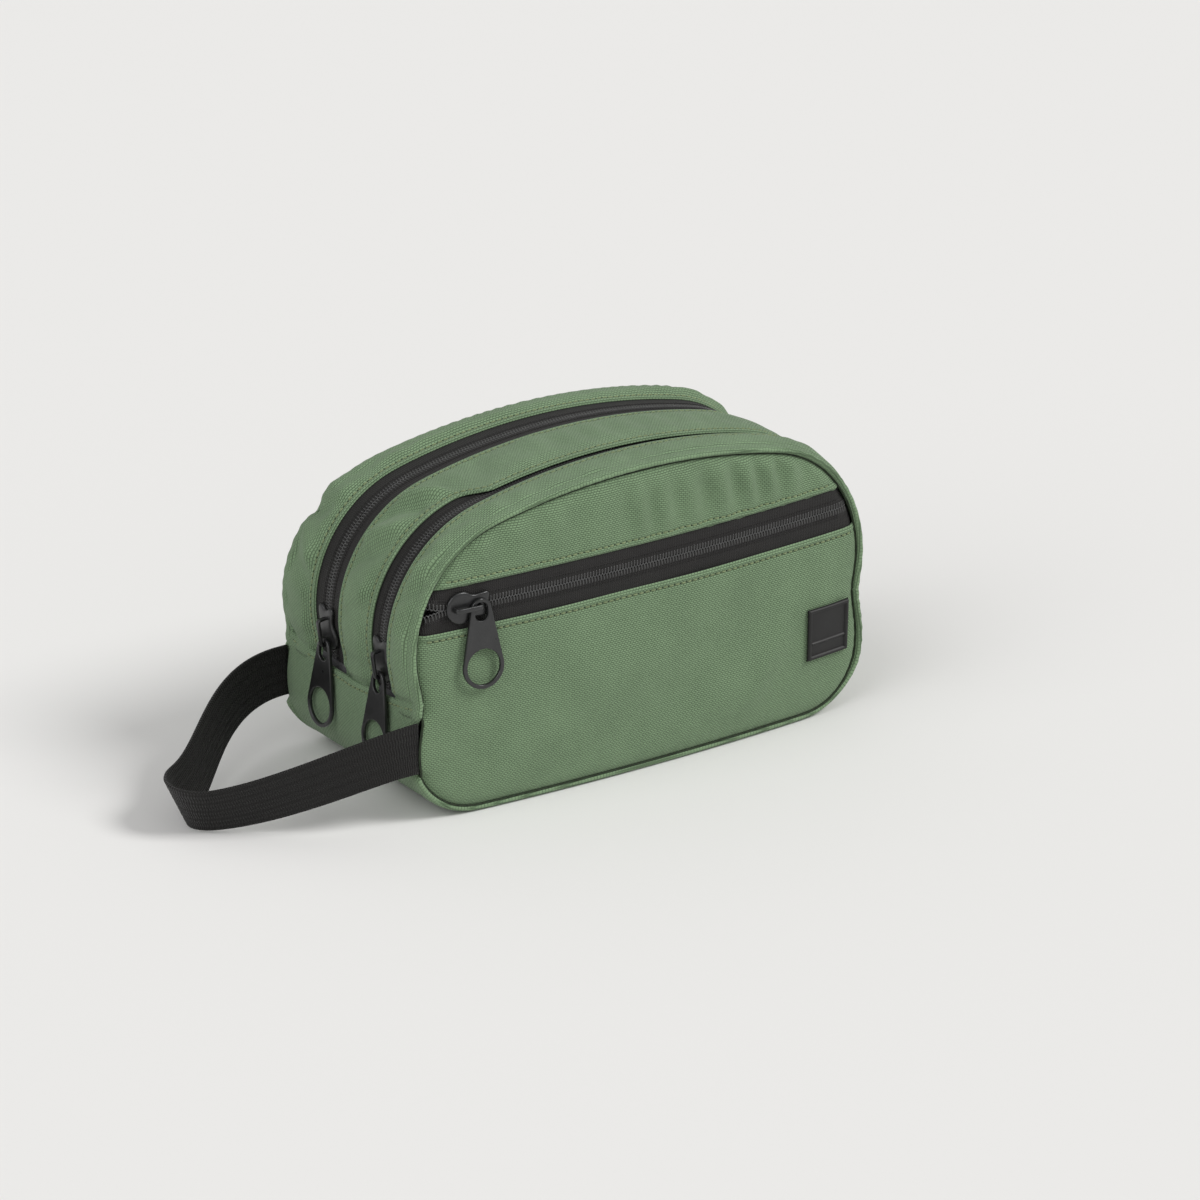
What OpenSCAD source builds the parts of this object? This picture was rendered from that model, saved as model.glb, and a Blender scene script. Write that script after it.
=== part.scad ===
// Wash bag with two zipped compartments, a zipped front pocket and a webbing handle.
// X runs along the bag, the pocket faces -Y, Z is up, and the origin is under the middle of the base.

/* [Bag] */
// Length of the bag
bag_w = 250; // [200:1:320]
// Height of the bag at the middle of its arch
bag_h = 148; // [138:1:190]
// Depth from the front seam to the rear seam at the base
bag_d = 115; // [100:1:150]
// How far the back leans in at the top
back_lean = 14.5; // [4:0.5:20]
// How far the front panel bulges past its end seams
front_crown = 6.5; // [4:0.5:9]
// Radius of the two shoulders, which the top zips run over
shoulder_r = 60; // [50:1:64]
// How far the middle of the arch rises above the shoulders
crown_rise = 8; // [6:0.5:12]
// Radius of the bottom corners
base_r = 32; // [20:1:38]
// How far the seams where the top zips end lie below the shoulder centres
end_seam_drop = 20; // [14:1:26]

/* [Cloth] */
// Thickness of the shell fabric with its backing
shell_t = 1.2; // [0.8:0.1:1.6]
// Thickness of the lining
lining_t = 0.5; // [0.3:0.1:0.8]
// Depth of the front pocket behind the shell
pocket_d = 10; // [9:0.5:12]
// Thickness of the divider and of the pocket back
wall_t = 0.6; // [0.4:0.1:1.2]
// Gap left between curved layers that lie on each other
layer_gap = 0.15; // [0.1:0.05:0.3]
// Width of the binding over the inside seams
binding_w = 8; // [6:0.5:10]

/* [Zips] */
// Half the width of a closed zip, from its middle to the edge of its tape
tape_w = 13; // [11.5:0.5:14]
// Thickness of the zip tape
tape_t = 0.8; // [0.5:0.1:1]
// Width of one coil
coil_w = 2.8; // [2.2:0.1:3.2]
// Thickness of the coils
coil_t = 2; // [1.6:0.1:2.4]
// Height of the front pocket zip
front_zip_z = 102; // [94:1:104]
// Black band that shows along the front pocket zip
front_band = 20; // [16:1:22]
// Place of the front compartment zip, from the middle of the bag
top_front_y = -28; // [-30:0.5:-24]
// Black band that shows along the front compartment zip
top_front_band = 16; // [16:0.5:18]
// Place of the rear compartment zip, from the middle of the bag
top_rear_y = 18; // [14:0.5:20]
// Black band that shows along the rear compartment zip
top_rear_band = 20; // [16:1:22]

/* [Sliders and pulls] */
// Length of a slider
slider_l = 22; // [20:0.5:24]
// Width of a slider at its round end
slider_w = 15; // [12:0.5:17]
// Thickness of a slider's outer plate
plate_t = 1.6; // [1.2:0.1:2]
// Width of the blade that joins a slider's two plates
blade_t = 0.9; // [0.7:0.05:1]
// Gap between the two tapes that the blade runs in
slot_w = 1.4; // [1.3:0.05:1.6]
// Running clearance between a slider and its zip
run_gap = 0.25; // [0.2:0.05:0.4]
// Length of a pull from its eye to the end of its ring
pull_l = 43; // [38:0.5:50]
// Outer diameter of a pull's ring
ring_d = 21; // [18:0.5:24]
// Thickness of a pull
pull_t = 1.8; // [1.4:0.1:2]
// Width of the metal round a pull's eye
eye_rim = 1.8; // [1.4:0.1:2]
// Place of the front slider, from the middle of the bag
front_slider_x = -97; // [-102:0.5:-90]
// Angle by which the top pulls hang out from upright
pull_splay = 5; // [4:0.5:12]

/* [Handle and label] */
// Width of the handle webbing
strap_w = 25; // [20:0.5:30]
// Thickness of the handle webbing
strap_t = 1.8; // [1.4:0.1:2.4]
// Height of the handle's roots
strap_z = 38; // [34:1:40]
// How far the handle reaches out from the end of the bag
strap_reach = 89; // [70:1:110]
// Width of the label patch
label_w = 25; // [18:0.5:30]
// Height of the label patch
label_h = 26; // [18:0.5:30]
// Thickness of the label patch
label_t = 2; // [1.2:0.1:2.6]
// Place of the label patch along the bag
label_x = 102; // [90:0.5:104]
// Height of the middle of the label patch
label_z = 45; // [40:0.5:60]

/* [Hidden] */
$fn = 96;

cloth_green = "darkolivegreen";
trim_black = [0.13, 0.13, 0.13];
metal_black = [0.24, 0.24, 0.25];
lining_grey = [0.35, 0.35, 0.36];

// Outline of the bag's ends and arch: a crown arc, tangent to a shoulder arc on each side.
half_w = bag_w / 2;
half_d = bag_d / 2;
shoulder_x = half_w - shoulder_r;
arch_rise = shoulder_r + crown_rise;
shoulder_z = bag_h - arch_rise;
crown_r = (pow(arch_rise, 2) + pow(shoulder_x, 2) - pow(shoulder_r, 2)) / (2 * crown_rise);
crown_z = bag_h - crown_r;
crown_a = atan(shoulder_x / (shoulder_z - crown_z));
pinch_a = asin(end_seam_drop / shoulder_r);
end_seam_z = shoulder_z - end_seam_drop;
belly_z = base_r + 8;
reach = bag_w + bag_h;

// Front panel: a barrel surface, turned about an upright axis far behind the bag.
barrel_r = (pow(half_w, 2) + pow(front_crown, 2)) / (2 * front_crown);
barrel_side_r = 700;
barrel_z = 50;
barrel_y = barrel_r - half_d - front_crown;
barrel_core = barrel_r - barrel_side_r;
barrel_sweep = 2 * asin(half_w / barrel_r) + 4;

// Layers, counted inwards from the outer face of the shell.
base_t = shell_t + tape_t;
coil_in = shell_t + tape_t + coil_t;
lining_in = base_t + lining_t;
front_layer = pocket_d + wall_t;
divider_y = (top_front_y + top_rear_y) / 2;
lining_gap = coil_w + slot_w / 2 + 3;
binding_t = 1.5;

// Sliders and pulls, in a frame whose origin lies on the tape, with Z outwards.
plate_top = run_gap + plate_t;
lug_gap = 3;
lug_t = 1.4;
lug_w = 2.2;
foot_l = 1.6;
lug_from = -8.5;
lug_to = 6;
pull_n = plate_top + lug_gap / 2;
inner_plate_t = 1.2;
eye_r = 5.2;
eye_hole_r = eye_r - eye_rim;
eye_long = 2;
eye_drop = eye_r - eye_rim / 2;
ring_w = 2;
ring_drop = pull_l - eye_rim / 2 - ring_d / 2;
front_foot_u = lug_to - foot_l / 2;
front_foot_drop = eye_rim / 2 + 1.7;
top_rim_u = lug_from + foot_l + 1.4;

// Frame of the front zip: how far its tape leans back, and how far it lies inside the barrel.
front_zip_side_r = barrel_side_r - shell_t - run_gap;
front_lean = asin((front_zip_z - barrel_z) / front_zip_side_r);
front_slider_a = asin(front_slider_x / barrel_r);
top_tape_r = shoulder_r - shell_t;
top_slider_a = asin((slider_l / 2 + 1) / top_tape_r) - pinch_a;

// Handle: centre line and the direction of the webbing's width, root to root.
strap_root_gap = 1.2;
strap_root_x = -half_w - strap_root_gap;
strap_root_y = half_d - 1.8;
strap_end_x = strap_root_x - strap_reach;
strap_low = strap_w / 2 + 0.2;
strap_steps = 12;
fold_steps = 8;
front_leg = [
    [strap_root_x, -strap_root_y, strap_z],
    [strap_root_x - 26, -strap_root_y, strap_z],
    [strap_end_x + 34, -31, strap_low + 4],
    [strap_end_x + 8, -13, strap_low]
];
fold = [
    [strap_end_x + 8, -13, strap_low],
    [strap_end_x - 3, -5.4, strap_low - 1],
    [strap_end_x - 2, 8.6, strap_low - 1],
    [strap_end_x + 9, 14, strap_low]
];
rear_leg = [
    [strap_end_x + 9, 14, strap_low],
    [strap_end_x + 31, 25, strap_low + 2],
    [strap_root_x - 40, strap_root_y, strap_z],
    [strap_root_x, strap_root_y, strap_z]
];
fold_lean = 24;

function arc(x, z, r, from, to, steps) =
    [for (k = [0:steps]) let (a = from + (to - from) * k / steps) [x + r * cos(a), z + r * sin(a)]];

function inner_points(list) = [for (k = [1:len(list) - 2]) list[k]];

// The outline seen from the front, drawn in by a given distance.
function outline(inset) = concat(
    arc(shoulder_x, shoulder_z, shoulder_r - inset, -pinch_a, 90 - crown_a, 32),
    inner_points(arc(0, crown_z, crown_r - inset, 90 - crown_a, 90 + crown_a, 12)),
    arc(-shoulder_x, shoulder_z, shoulder_r - inset, 90 + crown_a, 180 + pinch_a, 32),
    [[-half_w + inset, belly_z]],
    arc(-half_w + base_r, base_r, base_r - inset, 180, 270, 10),
    arc(half_w - base_r, base_r, base_r - inset, 270, 360, 10),
    [[half_w - inset, belly_z]]
);

function back_y(z) = half_d
    - (z > belly_z ? back_lean * pow((z - belly_z) / (bag_h - belly_z), 2) : 2 * pow(1 - z / belly_z, 2));

function bezier(p, t) =
    pow(1 - t, 3) * p[0] + 3 * t * pow(1 - t, 2) * p[1] + 3 * t * t * (1 - t) * p[2] + pow(t, 3) * p[3];

function unit(v) = v / norm(v);

// Solids that bound the bag, each drawn in by a given distance.
module outline_block(inset) {
    rotate([90, 0, 0])
        linear_extrude(reach, center = true)
            polygon(outline(inset));
}

module front_block(inset) {
    translate([0, barrel_y, 0])
        rotate_extrude(angle = barrel_sweep, start = 270 - barrel_sweep / 2, $fn = 360)
            intersection() {
                translate([barrel_core, barrel_z])
                    circle(barrel_side_r - inset, $fn = 360);
                translate([barrel_r - 1.6 * bag_d, -10])
                    square([1.7 * bag_d, bag_h + 20]);
            }
}

module back_block(inset) {
    levels = [for (k = [0:16]) -1 + (bag_h + 2) * k / 16];
    points = concat([for (z = levels) [back_y(z) - inset, z]], [[-bag_d, bag_h + 1], [-bag_d, -1]]);
    rotate([90, 0, 90])
        linear_extrude(reach, center = true)
            polygon(points);
}

module band_y(from, to) {
    translate([-reach / 2, from, -1])
        cube([reach, to - from, reach]);
}

module band_z(from, to) {
    translate([-reach / 2, -reach / 2, from])
        cube([reach, reach, to - from]);
}

// The room inside the shell, which is thicker below the end seams.
module inner_block() {
    intersection() {
        outline_block(shell_t);
        band_z(end_seam_z, reach);
    }
    intersection() {
        outline_block(base_t);
        band_z(0, end_seam_z);
    }
}

// Shell panels
module front_skin(from, to) {
    difference() {
        intersection() {
            outline_block(0);
            front_block(0);
            band_z(from, to);
        }
        front_block(shell_t);
    }
}

module front_pocket_panel() {
    color(cloth_green)
        front_skin(0, front_zip_z - front_band / 2);
}

module front_upper_panel() {
    color(cloth_green)
        front_skin(front_zip_z + front_band / 2, reach);
}

module pocket_back_panel() {
    color(lining_grey)
        difference() {
            intersection() {
                inner_block();
                front_block(pocket_d);
            }
            front_block(front_layer);
        }
}

module back_panel() {
    color(cloth_green)
        difference() {
            intersection() {
                outline_block(0);
                back_block(0);
                band_y(0, bag_d);
            }
            back_block(shell_t);
        }
}

module gusset_strip(from, to) {
    color(cloth_green)
        difference() {
            intersection() {
                outline_block(0);
                front_block(shell_t);
                back_block(shell_t);
                band_y(from, to);
                band_z(end_seam_z, reach);
            }
            outline_block(shell_t);
        }
}

module front_gusset_strip() {
    gusset_strip(-bag_d, top_front_y - top_front_band / 2);
}

module middle_gusset_strip() {
    gusset_strip(top_front_y + top_front_band / 2, top_rear_y - top_rear_band / 2);
}

module rear_gusset_strip() {
    gusset_strip(top_rear_y + top_rear_band / 2, bag_d);
}

module base_gusset() {
    color(cloth_green)
        difference() {
            intersection() {
                outline_block(0);
                front_block(shell_t);
                back_block(shell_t);
                band_z(0, end_seam_z);
            }
            outline_block(base_t);
        }
}

// Inner pieces
module divider_panel() {
    color(lining_grey)
        intersection() {
            inner_block();
            back_block(shell_t);
            band_y(divider_y - wall_t / 2, divider_y + wall_t / 2);
        }
}

module lining_band(from, to, zip_y) {
    color(lining_grey)
        difference() {
            intersection() {
                outline_block(base_t);
                front_block(front_layer + layer_gap);
                back_block(shell_t + layer_gap);
                band_y(from, to);
            }
            outline_block(lining_in);
            intersection() {
                band_y(zip_y - lining_gap, zip_y + lining_gap);
                band_z(end_seam_z, reach);
            }
        }
}

module front_lining() {
    lining_band(-bag_d, divider_y - wall_t / 2, top_front_y);
}

module rear_lining() {
    lining_band(divider_y + wall_t / 2, bag_d, top_rear_y);
}

module seam_ring() {
    difference() {
        outline_block(lining_in);
        outline_block(lining_in + binding_w);
    }
}

module front_seam_binding() {
    color(trim_black)
        difference() {
            intersection() {
                seam_ring();
                front_block(front_layer + layer_gap);
            }
            front_block(front_layer + layer_gap + binding_t);
        }
}

module rear_seam_binding() {
    color(trim_black)
        difference() {
            intersection() {
                seam_ring();
                back_block(shell_t + layer_gap);
                band_y(0, bag_d);
            }
            back_block(shell_t + layer_gap + binding_t);
        }
}

module label_patch() {
    color(trim_black)
        difference() {
            intersection() {
                front_block(-layer_gap - label_t);
                translate([label_x - label_w / 2, -bag_d, label_z - label_h / 2])
                    cube([label_w, bag_d, label_h]);
            }
            front_block(-layer_gap);
        }
}

// A strip of the front zip: a flat section, leaned like the panel and turned about the barrel's axis.
module front_zip_strip(across_from, across_to, out_from, out_to) {
    intersection() {
        translate([0, barrel_y, 0])
            rotate_extrude(angle = barrel_sweep, start = 270 - barrel_sweep / 2, $fn = 360)
                translate([barrel_core, barrel_z])
                    rotate(front_lean)
                        translate([front_zip_side_r + out_from, across_from])
                            square([out_to - out_from, across_to - across_from]);
        outline_block(shell_t);
    }
}

module front_zip_lower_tape() {
    color(trim_black)
        front_zip_strip(-tape_w, -slot_w / 2, -tape_t, 0);
}

module front_zip_upper_tape() {
    color(trim_black)
        front_zip_strip(slot_w / 2, tape_w, -tape_t, 0);
}

module front_zip_lower_coil() {
    color(trim_black)
        front_zip_strip(-slot_w / 2 - coil_w, -slot_w / 2, -tape_t - coil_t, -tape_t - layer_gap);
}

module front_zip_upper_coil() {
    color(trim_black)
        front_zip_strip(slot_w / 2, slot_w / 2 + coil_w, -tape_t - coil_t, -tape_t - layer_gap);
}

// A strip of a top zip, between two depths under the shell and over a range of Y.
module top_zip_strip(outer, inner, from, to) {
    color(trim_black)
        difference() {
            intersection() {
                outline_block(outer);
                band_y(from, to);
                band_z(end_seam_z, reach);
            }
            outline_block(inner);
        }
}

module top_tape(zip_y, side) {
    near = zip_y + side * slot_w / 2;
    far = zip_y + side * tape_w;
    top_zip_strip(shell_t, base_t, min(near, far), max(near, far));
}

module top_coil(zip_y, side) {
    near = zip_y + side * slot_w / 2;
    far = near + side * coil_w;
    top_zip_strip(base_t, coil_in, min(near, far), max(near, far));
}

module top_front_zip_front_tape() {
    top_tape(top_front_y, -1);
}

module top_front_zip_rear_tape() {
    top_tape(top_front_y, 1);
}

module top_front_zip_front_coil() {
    top_coil(top_front_y, -1);
}

module top_front_zip_rear_coil() {
    top_coil(top_front_y, 1);
}

module top_rear_zip_front_tape() {
    top_tape(top_rear_y, -1);
}

module top_rear_zip_rear_tape() {
    top_tape(top_rear_y, 1);
}

module top_rear_zip_front_coil() {
    top_coil(top_rear_y, -1);
}

module top_rear_zip_rear_coil() {
    top_coil(top_rear_y, 1);
}

// Slider: X along the zip towards the closed chain, Z outwards, origin on the tape.
module slider_outline() {
    neck_w = slider_w - 4;
    translate([-slider_l / 2 + slider_w / 2, 0])
        circle(d = slider_w);
    translate([-slider_l / 2 + slider_w / 2, -neck_w / 2])
        square([slider_l - slider_w / 2, neck_w]);
}

// One plate between two heights. A bend radius above 0 curves it about an axis along Y.
module slider_plate(low, high, bend_r) {
    intersection() {
        translate([0, 0, low - 3])
            linear_extrude(high - low + 6)
                slider_outline();
        if (bend_r > 0)
            translate([0, 0, -bend_r])
                rotate([90, 0, 0])
                    difference() {
                        cylinder(h = 2 * slider_w, r = bend_r + high, center = true, $fn = 360);
                        cylinder(h = 3 * slider_w, r = bend_r + low, center = true, $fn = 360);
                    }
        else
            translate([-slider_l, -slider_w, low])
                cube([2 * slider_l, 2 * slider_w, high - low]);
    }
}

module slider_lug() {
    top = plate_top + lug_gap;
    root = run_gap + plate_t / 4;
    translate([lug_from, -lug_w / 2, top])
        cube([lug_to - lug_from, lug_w, lug_t]);
    for (foot = [lug_from, lug_to - foot_l])
        translate([foot, -lug_w / 2, root])
            cube([foot_l, lug_w, top + lug_t - root]);
}

module slider(bend_r) {
    inner_top = -tape_t - coil_t - run_gap;
    blade_l = 4;
    color(metal_black)
        union() {
            slider_plate(run_gap, plate_top, bend_r);
            slider_plate(inner_top - inner_plate_t, inner_top, bend_r);
            translate([-slider_l / 2 + 3, -blade_t / 2, inner_top - inner_plate_t / 2])
                cube([blade_l, blade_t, run_gap + plate_t / 2 - inner_top + inner_plate_t / 2]);
            slider_lug();
        }
}

// Pull: hangs along -X from the middle of its eye's rim, with its thickness about Z = 0.
module pull() {
    color(metal_black)
        translate([0, 0, -pull_t / 2])
            linear_extrude(pull_t)
                difference() {
                    union() {
                        translate([-eye_drop, 0])
                            circle(eye_r);
                        translate([-ring_drop, 0])
                            circle(d = ring_d);
                        polygon([
                            [-eye_drop, eye_r], [-ring_drop + 2, ring_d / 2 - 0.2],
                            [-ring_drop + 2, -ring_d / 2 + 0.2], [-eye_drop, -eye_r]
                        ]);
                    }
                    translate([-eye_drop, 0])
                        circle(eye_hole_r);
                    translate([-eye_drop - eye_long, -eye_hole_r])
                        square([eye_long, 2 * eye_hole_r]);
                    translate([-eye_drop - eye_long, 0])
                        circle(eye_hole_r);
                    translate([-ring_drop, 0])
                        circle(d = ring_d - 2 * ring_w);
                }
}

// Places on the front zip and on a top zip: X along the zip, Z outwards, origin on the tape.
module on_front_zip() {
    translate([0, barrel_y, 0])
        rotate([0, 0, front_slider_a])
            translate([0, -barrel_core, barrel_z])
                rotate([-front_lean, 0, 0])
                    translate([0, -front_zip_side_r, 0])
                        rotate([90, 0, 0])
                            children();
}

module on_top_zip(zip_y) {
    translate([-shoulder_x, zip_y, shoulder_z])
        rotate([0, top_slider_a - 90, 0])
            translate([0, 0, top_tape_r])
                children();
}

module front_slider() {
    on_front_zip()
        slider(0);
}

module front_pull() {
    on_front_zip()
        translate([front_foot_u, 0, pull_n])
            rotate([0, 0, 90])
                translate([front_foot_drop, 0, 0])
                    pull();
}

module top_slider(zip_y) {
    on_top_zip(zip_y)
        slider(top_tape_r);
}

module top_pull(zip_y) {
    on_top_zip(zip_y)
        translate([top_rim_u, 0, pull_n])
            rotate([0, pull_splay - top_slider_a, 0])
                pull();
}

module top_front_slider() {
    top_slider(top_front_y);
}

module top_front_pull() {
    top_pull(top_front_y);
}

module top_rear_slider() {
    top_slider(top_rear_y);
}

module top_rear_pull() {
    top_pull(top_rear_y);
}

// Handle: webbing swept along its centre line, upright at its roots and leaning out at its fold.
module handle_strap() {
    line = concat(
        [for (k = [0:strap_steps - 1]) bezier(front_leg, k / strap_steps)],
        [for (k = [0:fold_steps - 1]) bezier(fold, k / fold_steps)],
        [for (k = [0:strap_steps]) bezier(rear_leg, k / strap_steps)]
    );
    last = len(line) - 1;
    ways = [for (k = [0:last]) unit(line[min(k + 1, last)] - line[max(k - 1, 0)])];
    leans = [for (k = [0:last]) fold_lean * sin(180 * k / last)];
    sides = [for (k = [0:last]) unit(cross(ways[k], [0, 0, 1]))];
    widths = [for (k = [0:last]) unit(cross(sides[k] * cos(leans[k]) + [0, 0, sin(leans[k])], ways[k]))];
    thicks = [for (k = [0:last]) unit(cross(ways[k], widths[k]))];
    corners = [[-1, -1], [1, -1], [1, 1], [-1, 1]];
    points = [
        for (k = [0:last]) for (c = corners)
            line[k] + widths[k] * c[0] * strap_w / 2 + thicks[k] * c[1] * strap_t / 2
    ];
    faces = concat(
        [[3, 2, 1, 0]],
        [for (k = [0:last - 1]) for (c = [0:3]) let (n = (c + 1) % 4) [4 * k + c, 4 * k + n, 4 * k + n + 4]],
        [for (k = [0:last - 1]) for (c = [0:3]) let (n = (c + 1) % 4) [4 * k + c, 4 * k + n + 4, 4 * k + c + 4]],
        [[4 * last, 4 * last + 1, 4 * last + 2, 4 * last + 3]]
    );
    color(trim_black)
        polyhedron(points, faces);
}

front_pocket_panel();
front_upper_panel();
pocket_back_panel();
back_panel();
base_gusset();
front_gusset_strip();
middle_gusset_strip();
rear_gusset_strip();
divider_panel();
front_lining();
rear_lining();
front_seam_binding();
rear_seam_binding();
label_patch();
front_zip_lower_tape();
front_zip_upper_tape();
front_zip_lower_coil();
front_zip_upper_coil();
top_front_zip_front_tape();
top_front_zip_rear_tape();
top_front_zip_front_coil();
top_front_zip_rear_coil();
top_rear_zip_front_tape();
top_rear_zip_rear_tape();
top_rear_zip_front_coil();
top_rear_zip_rear_coil();
front_slider();
front_pull();
top_front_slider();
top_front_pull();
top_rear_slider();
top_rear_pull();
handle_strap();
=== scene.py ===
"""Two-compartment wash bag: sewn shell, three zips with sliders and pulls, label and webbing handle."""
import math

import bpy
import numpy as np
from mathutils import Matrix, Vector


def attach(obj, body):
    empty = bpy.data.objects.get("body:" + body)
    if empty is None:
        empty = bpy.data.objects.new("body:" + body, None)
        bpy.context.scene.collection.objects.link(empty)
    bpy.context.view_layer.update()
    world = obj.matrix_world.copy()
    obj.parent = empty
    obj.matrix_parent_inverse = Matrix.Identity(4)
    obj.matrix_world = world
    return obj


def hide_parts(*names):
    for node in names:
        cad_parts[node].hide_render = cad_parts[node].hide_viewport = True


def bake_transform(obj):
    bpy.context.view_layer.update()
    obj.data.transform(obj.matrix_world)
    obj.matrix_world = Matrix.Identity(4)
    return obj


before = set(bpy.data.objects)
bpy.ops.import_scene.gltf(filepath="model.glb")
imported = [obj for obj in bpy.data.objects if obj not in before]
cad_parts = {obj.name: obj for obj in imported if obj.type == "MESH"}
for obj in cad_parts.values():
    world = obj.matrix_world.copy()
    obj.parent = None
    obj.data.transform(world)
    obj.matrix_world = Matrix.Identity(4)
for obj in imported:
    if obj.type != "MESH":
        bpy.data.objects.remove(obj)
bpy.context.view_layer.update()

# Sizes, in millimetres, as in the part's source.
BAG_W, BAG_H, BAG_D = 250.0, 148.0, 115.0
BACK_LEAN, FRONT_CROWN = 14.5, 6.5
SHOULDER_R, CROWN_RISE, BASE_R, END_SEAM_DROP = 60.0, 8.0, 32.0, 20.0
SHELL_T, TAPE_T, RUN_GAP = 1.2, 0.8, 0.25
FRONT_ZIP_Z, FRONT_BAND = 102.0, 20.0
TOP_FRONT_Y, TOP_FRONT_BAND, TOP_REAR_Y, TOP_REAR_BAND = -28.0, 16.0, 18.0, 20.0
SLIDER_L, SLIDER_W, PLATE_T, FRONT_SLIDER_X = 22.0, 15.0, 1.6, -97.0
PULL_L, RING_D, PULL_T, EYE_RIM, PULL_SPLAY = 43.0, 21.0, 1.8, 1.8, 5.0
STRAP_W, STRAP_T, STRAP_Z, STRAP_REACH, STRAP_ROOT_GAP = 25.0, 1.8, 38.0, 89.0, 1.2
LABEL_W, LABEL_H, LABEL_X, LABEL_Z = 25.0, 26.0, 102.0, 45.0

HALF_W, HALF_D = BAG_W / 2, BAG_D / 2
SHOULDER_X = HALF_W - SHOULDER_R
ARCH_RISE = SHOULDER_R + CROWN_RISE
SHOULDER_Z = BAG_H - ARCH_RISE
CROWN_R = (ARCH_RISE ** 2 + SHOULDER_X ** 2 - SHOULDER_R ** 2) / (2 * CROWN_RISE)
CROWN_Z = BAG_H - CROWN_R
CROWN_A = math.atan(SHOULDER_X / (SHOULDER_Z - CROWN_Z))
PINCH_A = math.asin(END_SEAM_DROP / SHOULDER_R)
BELLY_Z = BASE_R + 8
BARREL_R = (HALF_W ** 2 + FRONT_CROWN ** 2) / (2 * FRONT_CROWN)
SIDE_R, BARREL_Z = 700.0, 50.0
BARREL_Y = BARREL_R - HALF_D - FRONT_CROWN
CORE = BARREL_R - SIDE_R

# Sewing: how deep the seam lies, the radius of the painted shade line in its groove, its puckers, the stitching's place
# behind a fold, and the thickness of the cloths.
SEAM_OFF, SEAM_SINK, SEAM_SHADE_R = -1.9, 3.3, 0.62
PUCKER_PITCH, PUCKER_SEED = 6.5, 3
STITCH_IN = 3.1
PANEL_CLOTH_T, STRIP_CLOTH_T, TAPE_CLOTH_T = 0.9, 0.8, 0.7


# -------- shape helpers
def smooth(x, lo, hi):
    """An eased step from 0 at lo to 1 at hi."""
    t = np.clip((np.asarray(x, float) - lo) / (hi - lo), 0, 1)
    return t * t * (3 - 2 * t)


def hump(x, middle, width):
    """A smooth bump of height 1."""
    return np.exp(-((np.asarray(x, float) - middle) / width) ** 2)


def ripple(x, pitch, seed):
    """A wavering ripple of about the given pitch, between -1 and 1."""
    phase = np.random.default_rng(seed).uniform(0, 2 * np.pi, 4)
    x = np.asarray(x, float)
    drift = 1.3 * np.sin(x / (pitch * 1.9) + phase[0]) + 0.8 * np.sin(x / (pitch * 0.83) + phase[1])
    size = 0.65 + 0.35 * np.sin(x / (pitch * 2.7) + phase[2])
    return size * np.sin(2 * np.pi * x / pitch + phase[3] + drift)


def creases(s, w, folds):
    """Ridges and valleys across a strip: each fold has a height, a slant, a place along the arch and a width."""
    return sum(height * hump(s + slant * w, place, width) for height, slant, place, width in folds)


def front_y(x, z, inset=0.0):
    """The barrel surface of the front, or one inside it."""
    side = CORE + np.sqrt((SIDE_R - inset) ** 2 - (z - BARREL_Z) ** 2)
    return BARREL_Y - np.sqrt(side ** 2 - x ** 2)


def back_y(z):
    """The back panel's lean above the belly and its tuck below."""
    high = BACK_LEAN * ((z - BELLY_Z) / (BAG_H - BELLY_Z)) ** 2
    low = 2 * (1 - z / BELLY_Z) ** 2
    return HALF_D - np.where(z > BELLY_Z, high, low)


def unit(v):
    """Vectors along the last axis, scaled to length 1."""
    return v / np.maximum(np.linalg.norm(v, axis=-1), 1e-9)[..., None]


def run_along(points):
    """Distance along a line of points, from its start."""
    return np.concatenate([[0], np.cumsum(np.linalg.norm(np.diff(points, axis=0), axis=1))])


def sample(t, run, values):
    """Columns of values, known at distances run, at distances t."""
    return np.stack([np.interp(t, run, column) for column in values.T], -1)


def arc(x, z, r, a0, a1, n):
    a = np.linspace(a0, a1, n)
    return np.stack([x + r * np.cos(a), z + r * np.sin(a)], -1)


def make_loop():
    """The outline as an even closed polyline, from the left end seam over the arch and back under the base."""
    q = math.pi / 2
    parts = [
        arc(-SHOULDER_X, SHOULDER_Z, SHOULDER_R, math.pi + PINCH_A, q + CROWN_A, 120),
        arc(0, CROWN_Z, CROWN_R, q + CROWN_A, q - CROWN_A, 120)[1:],
        arc(SHOULDER_X, SHOULDER_Z, SHOULDER_R, q - CROWN_A, -PINCH_A, 120)[1:],
        np.array([[HALF_W, BELLY_Z]]),
        arc(HALF_W - BASE_R, BASE_R, BASE_R, 0, -q, 40),
        arc(-HALF_W + BASE_R, BASE_R, BASE_R, -q, -2 * q, 40),
        np.array([[-HALF_W, BELLY_Z]]),
    ]
    raw = np.concatenate(parts + [parts[0][:1]])
    length = run_along(raw)
    count = int(length[-1] / 0.5)
    s = np.linspace(0, length[-1], count, endpoint=False)
    pts = sample(s, length, raw)
    pad = 9
    for _ in range(2):
        wide = np.concatenate([pts[-pad:], pts, pts[:pad]])
        pts = np.stack([np.convolve(wide[:, k], np.ones(2 * pad + 1) / (2 * pad + 1), "valid") for k in (0, 1)], -1)
    way = unit(np.roll(pts, -1, 0) - np.roll(pts, 1, 0))
    return length[-1], s, pts, np.stack([-way[:, 1], way[:, 0]], -1)


LOOP_L, LOOP_S, LOOP_P, LOOP_N = make_loop()
ARCH_L = 2 * SHOULDER_R * (PINCH_A + math.pi / 2 - CROWN_A) + 2 * CROWN_R * CROWN_A


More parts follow.
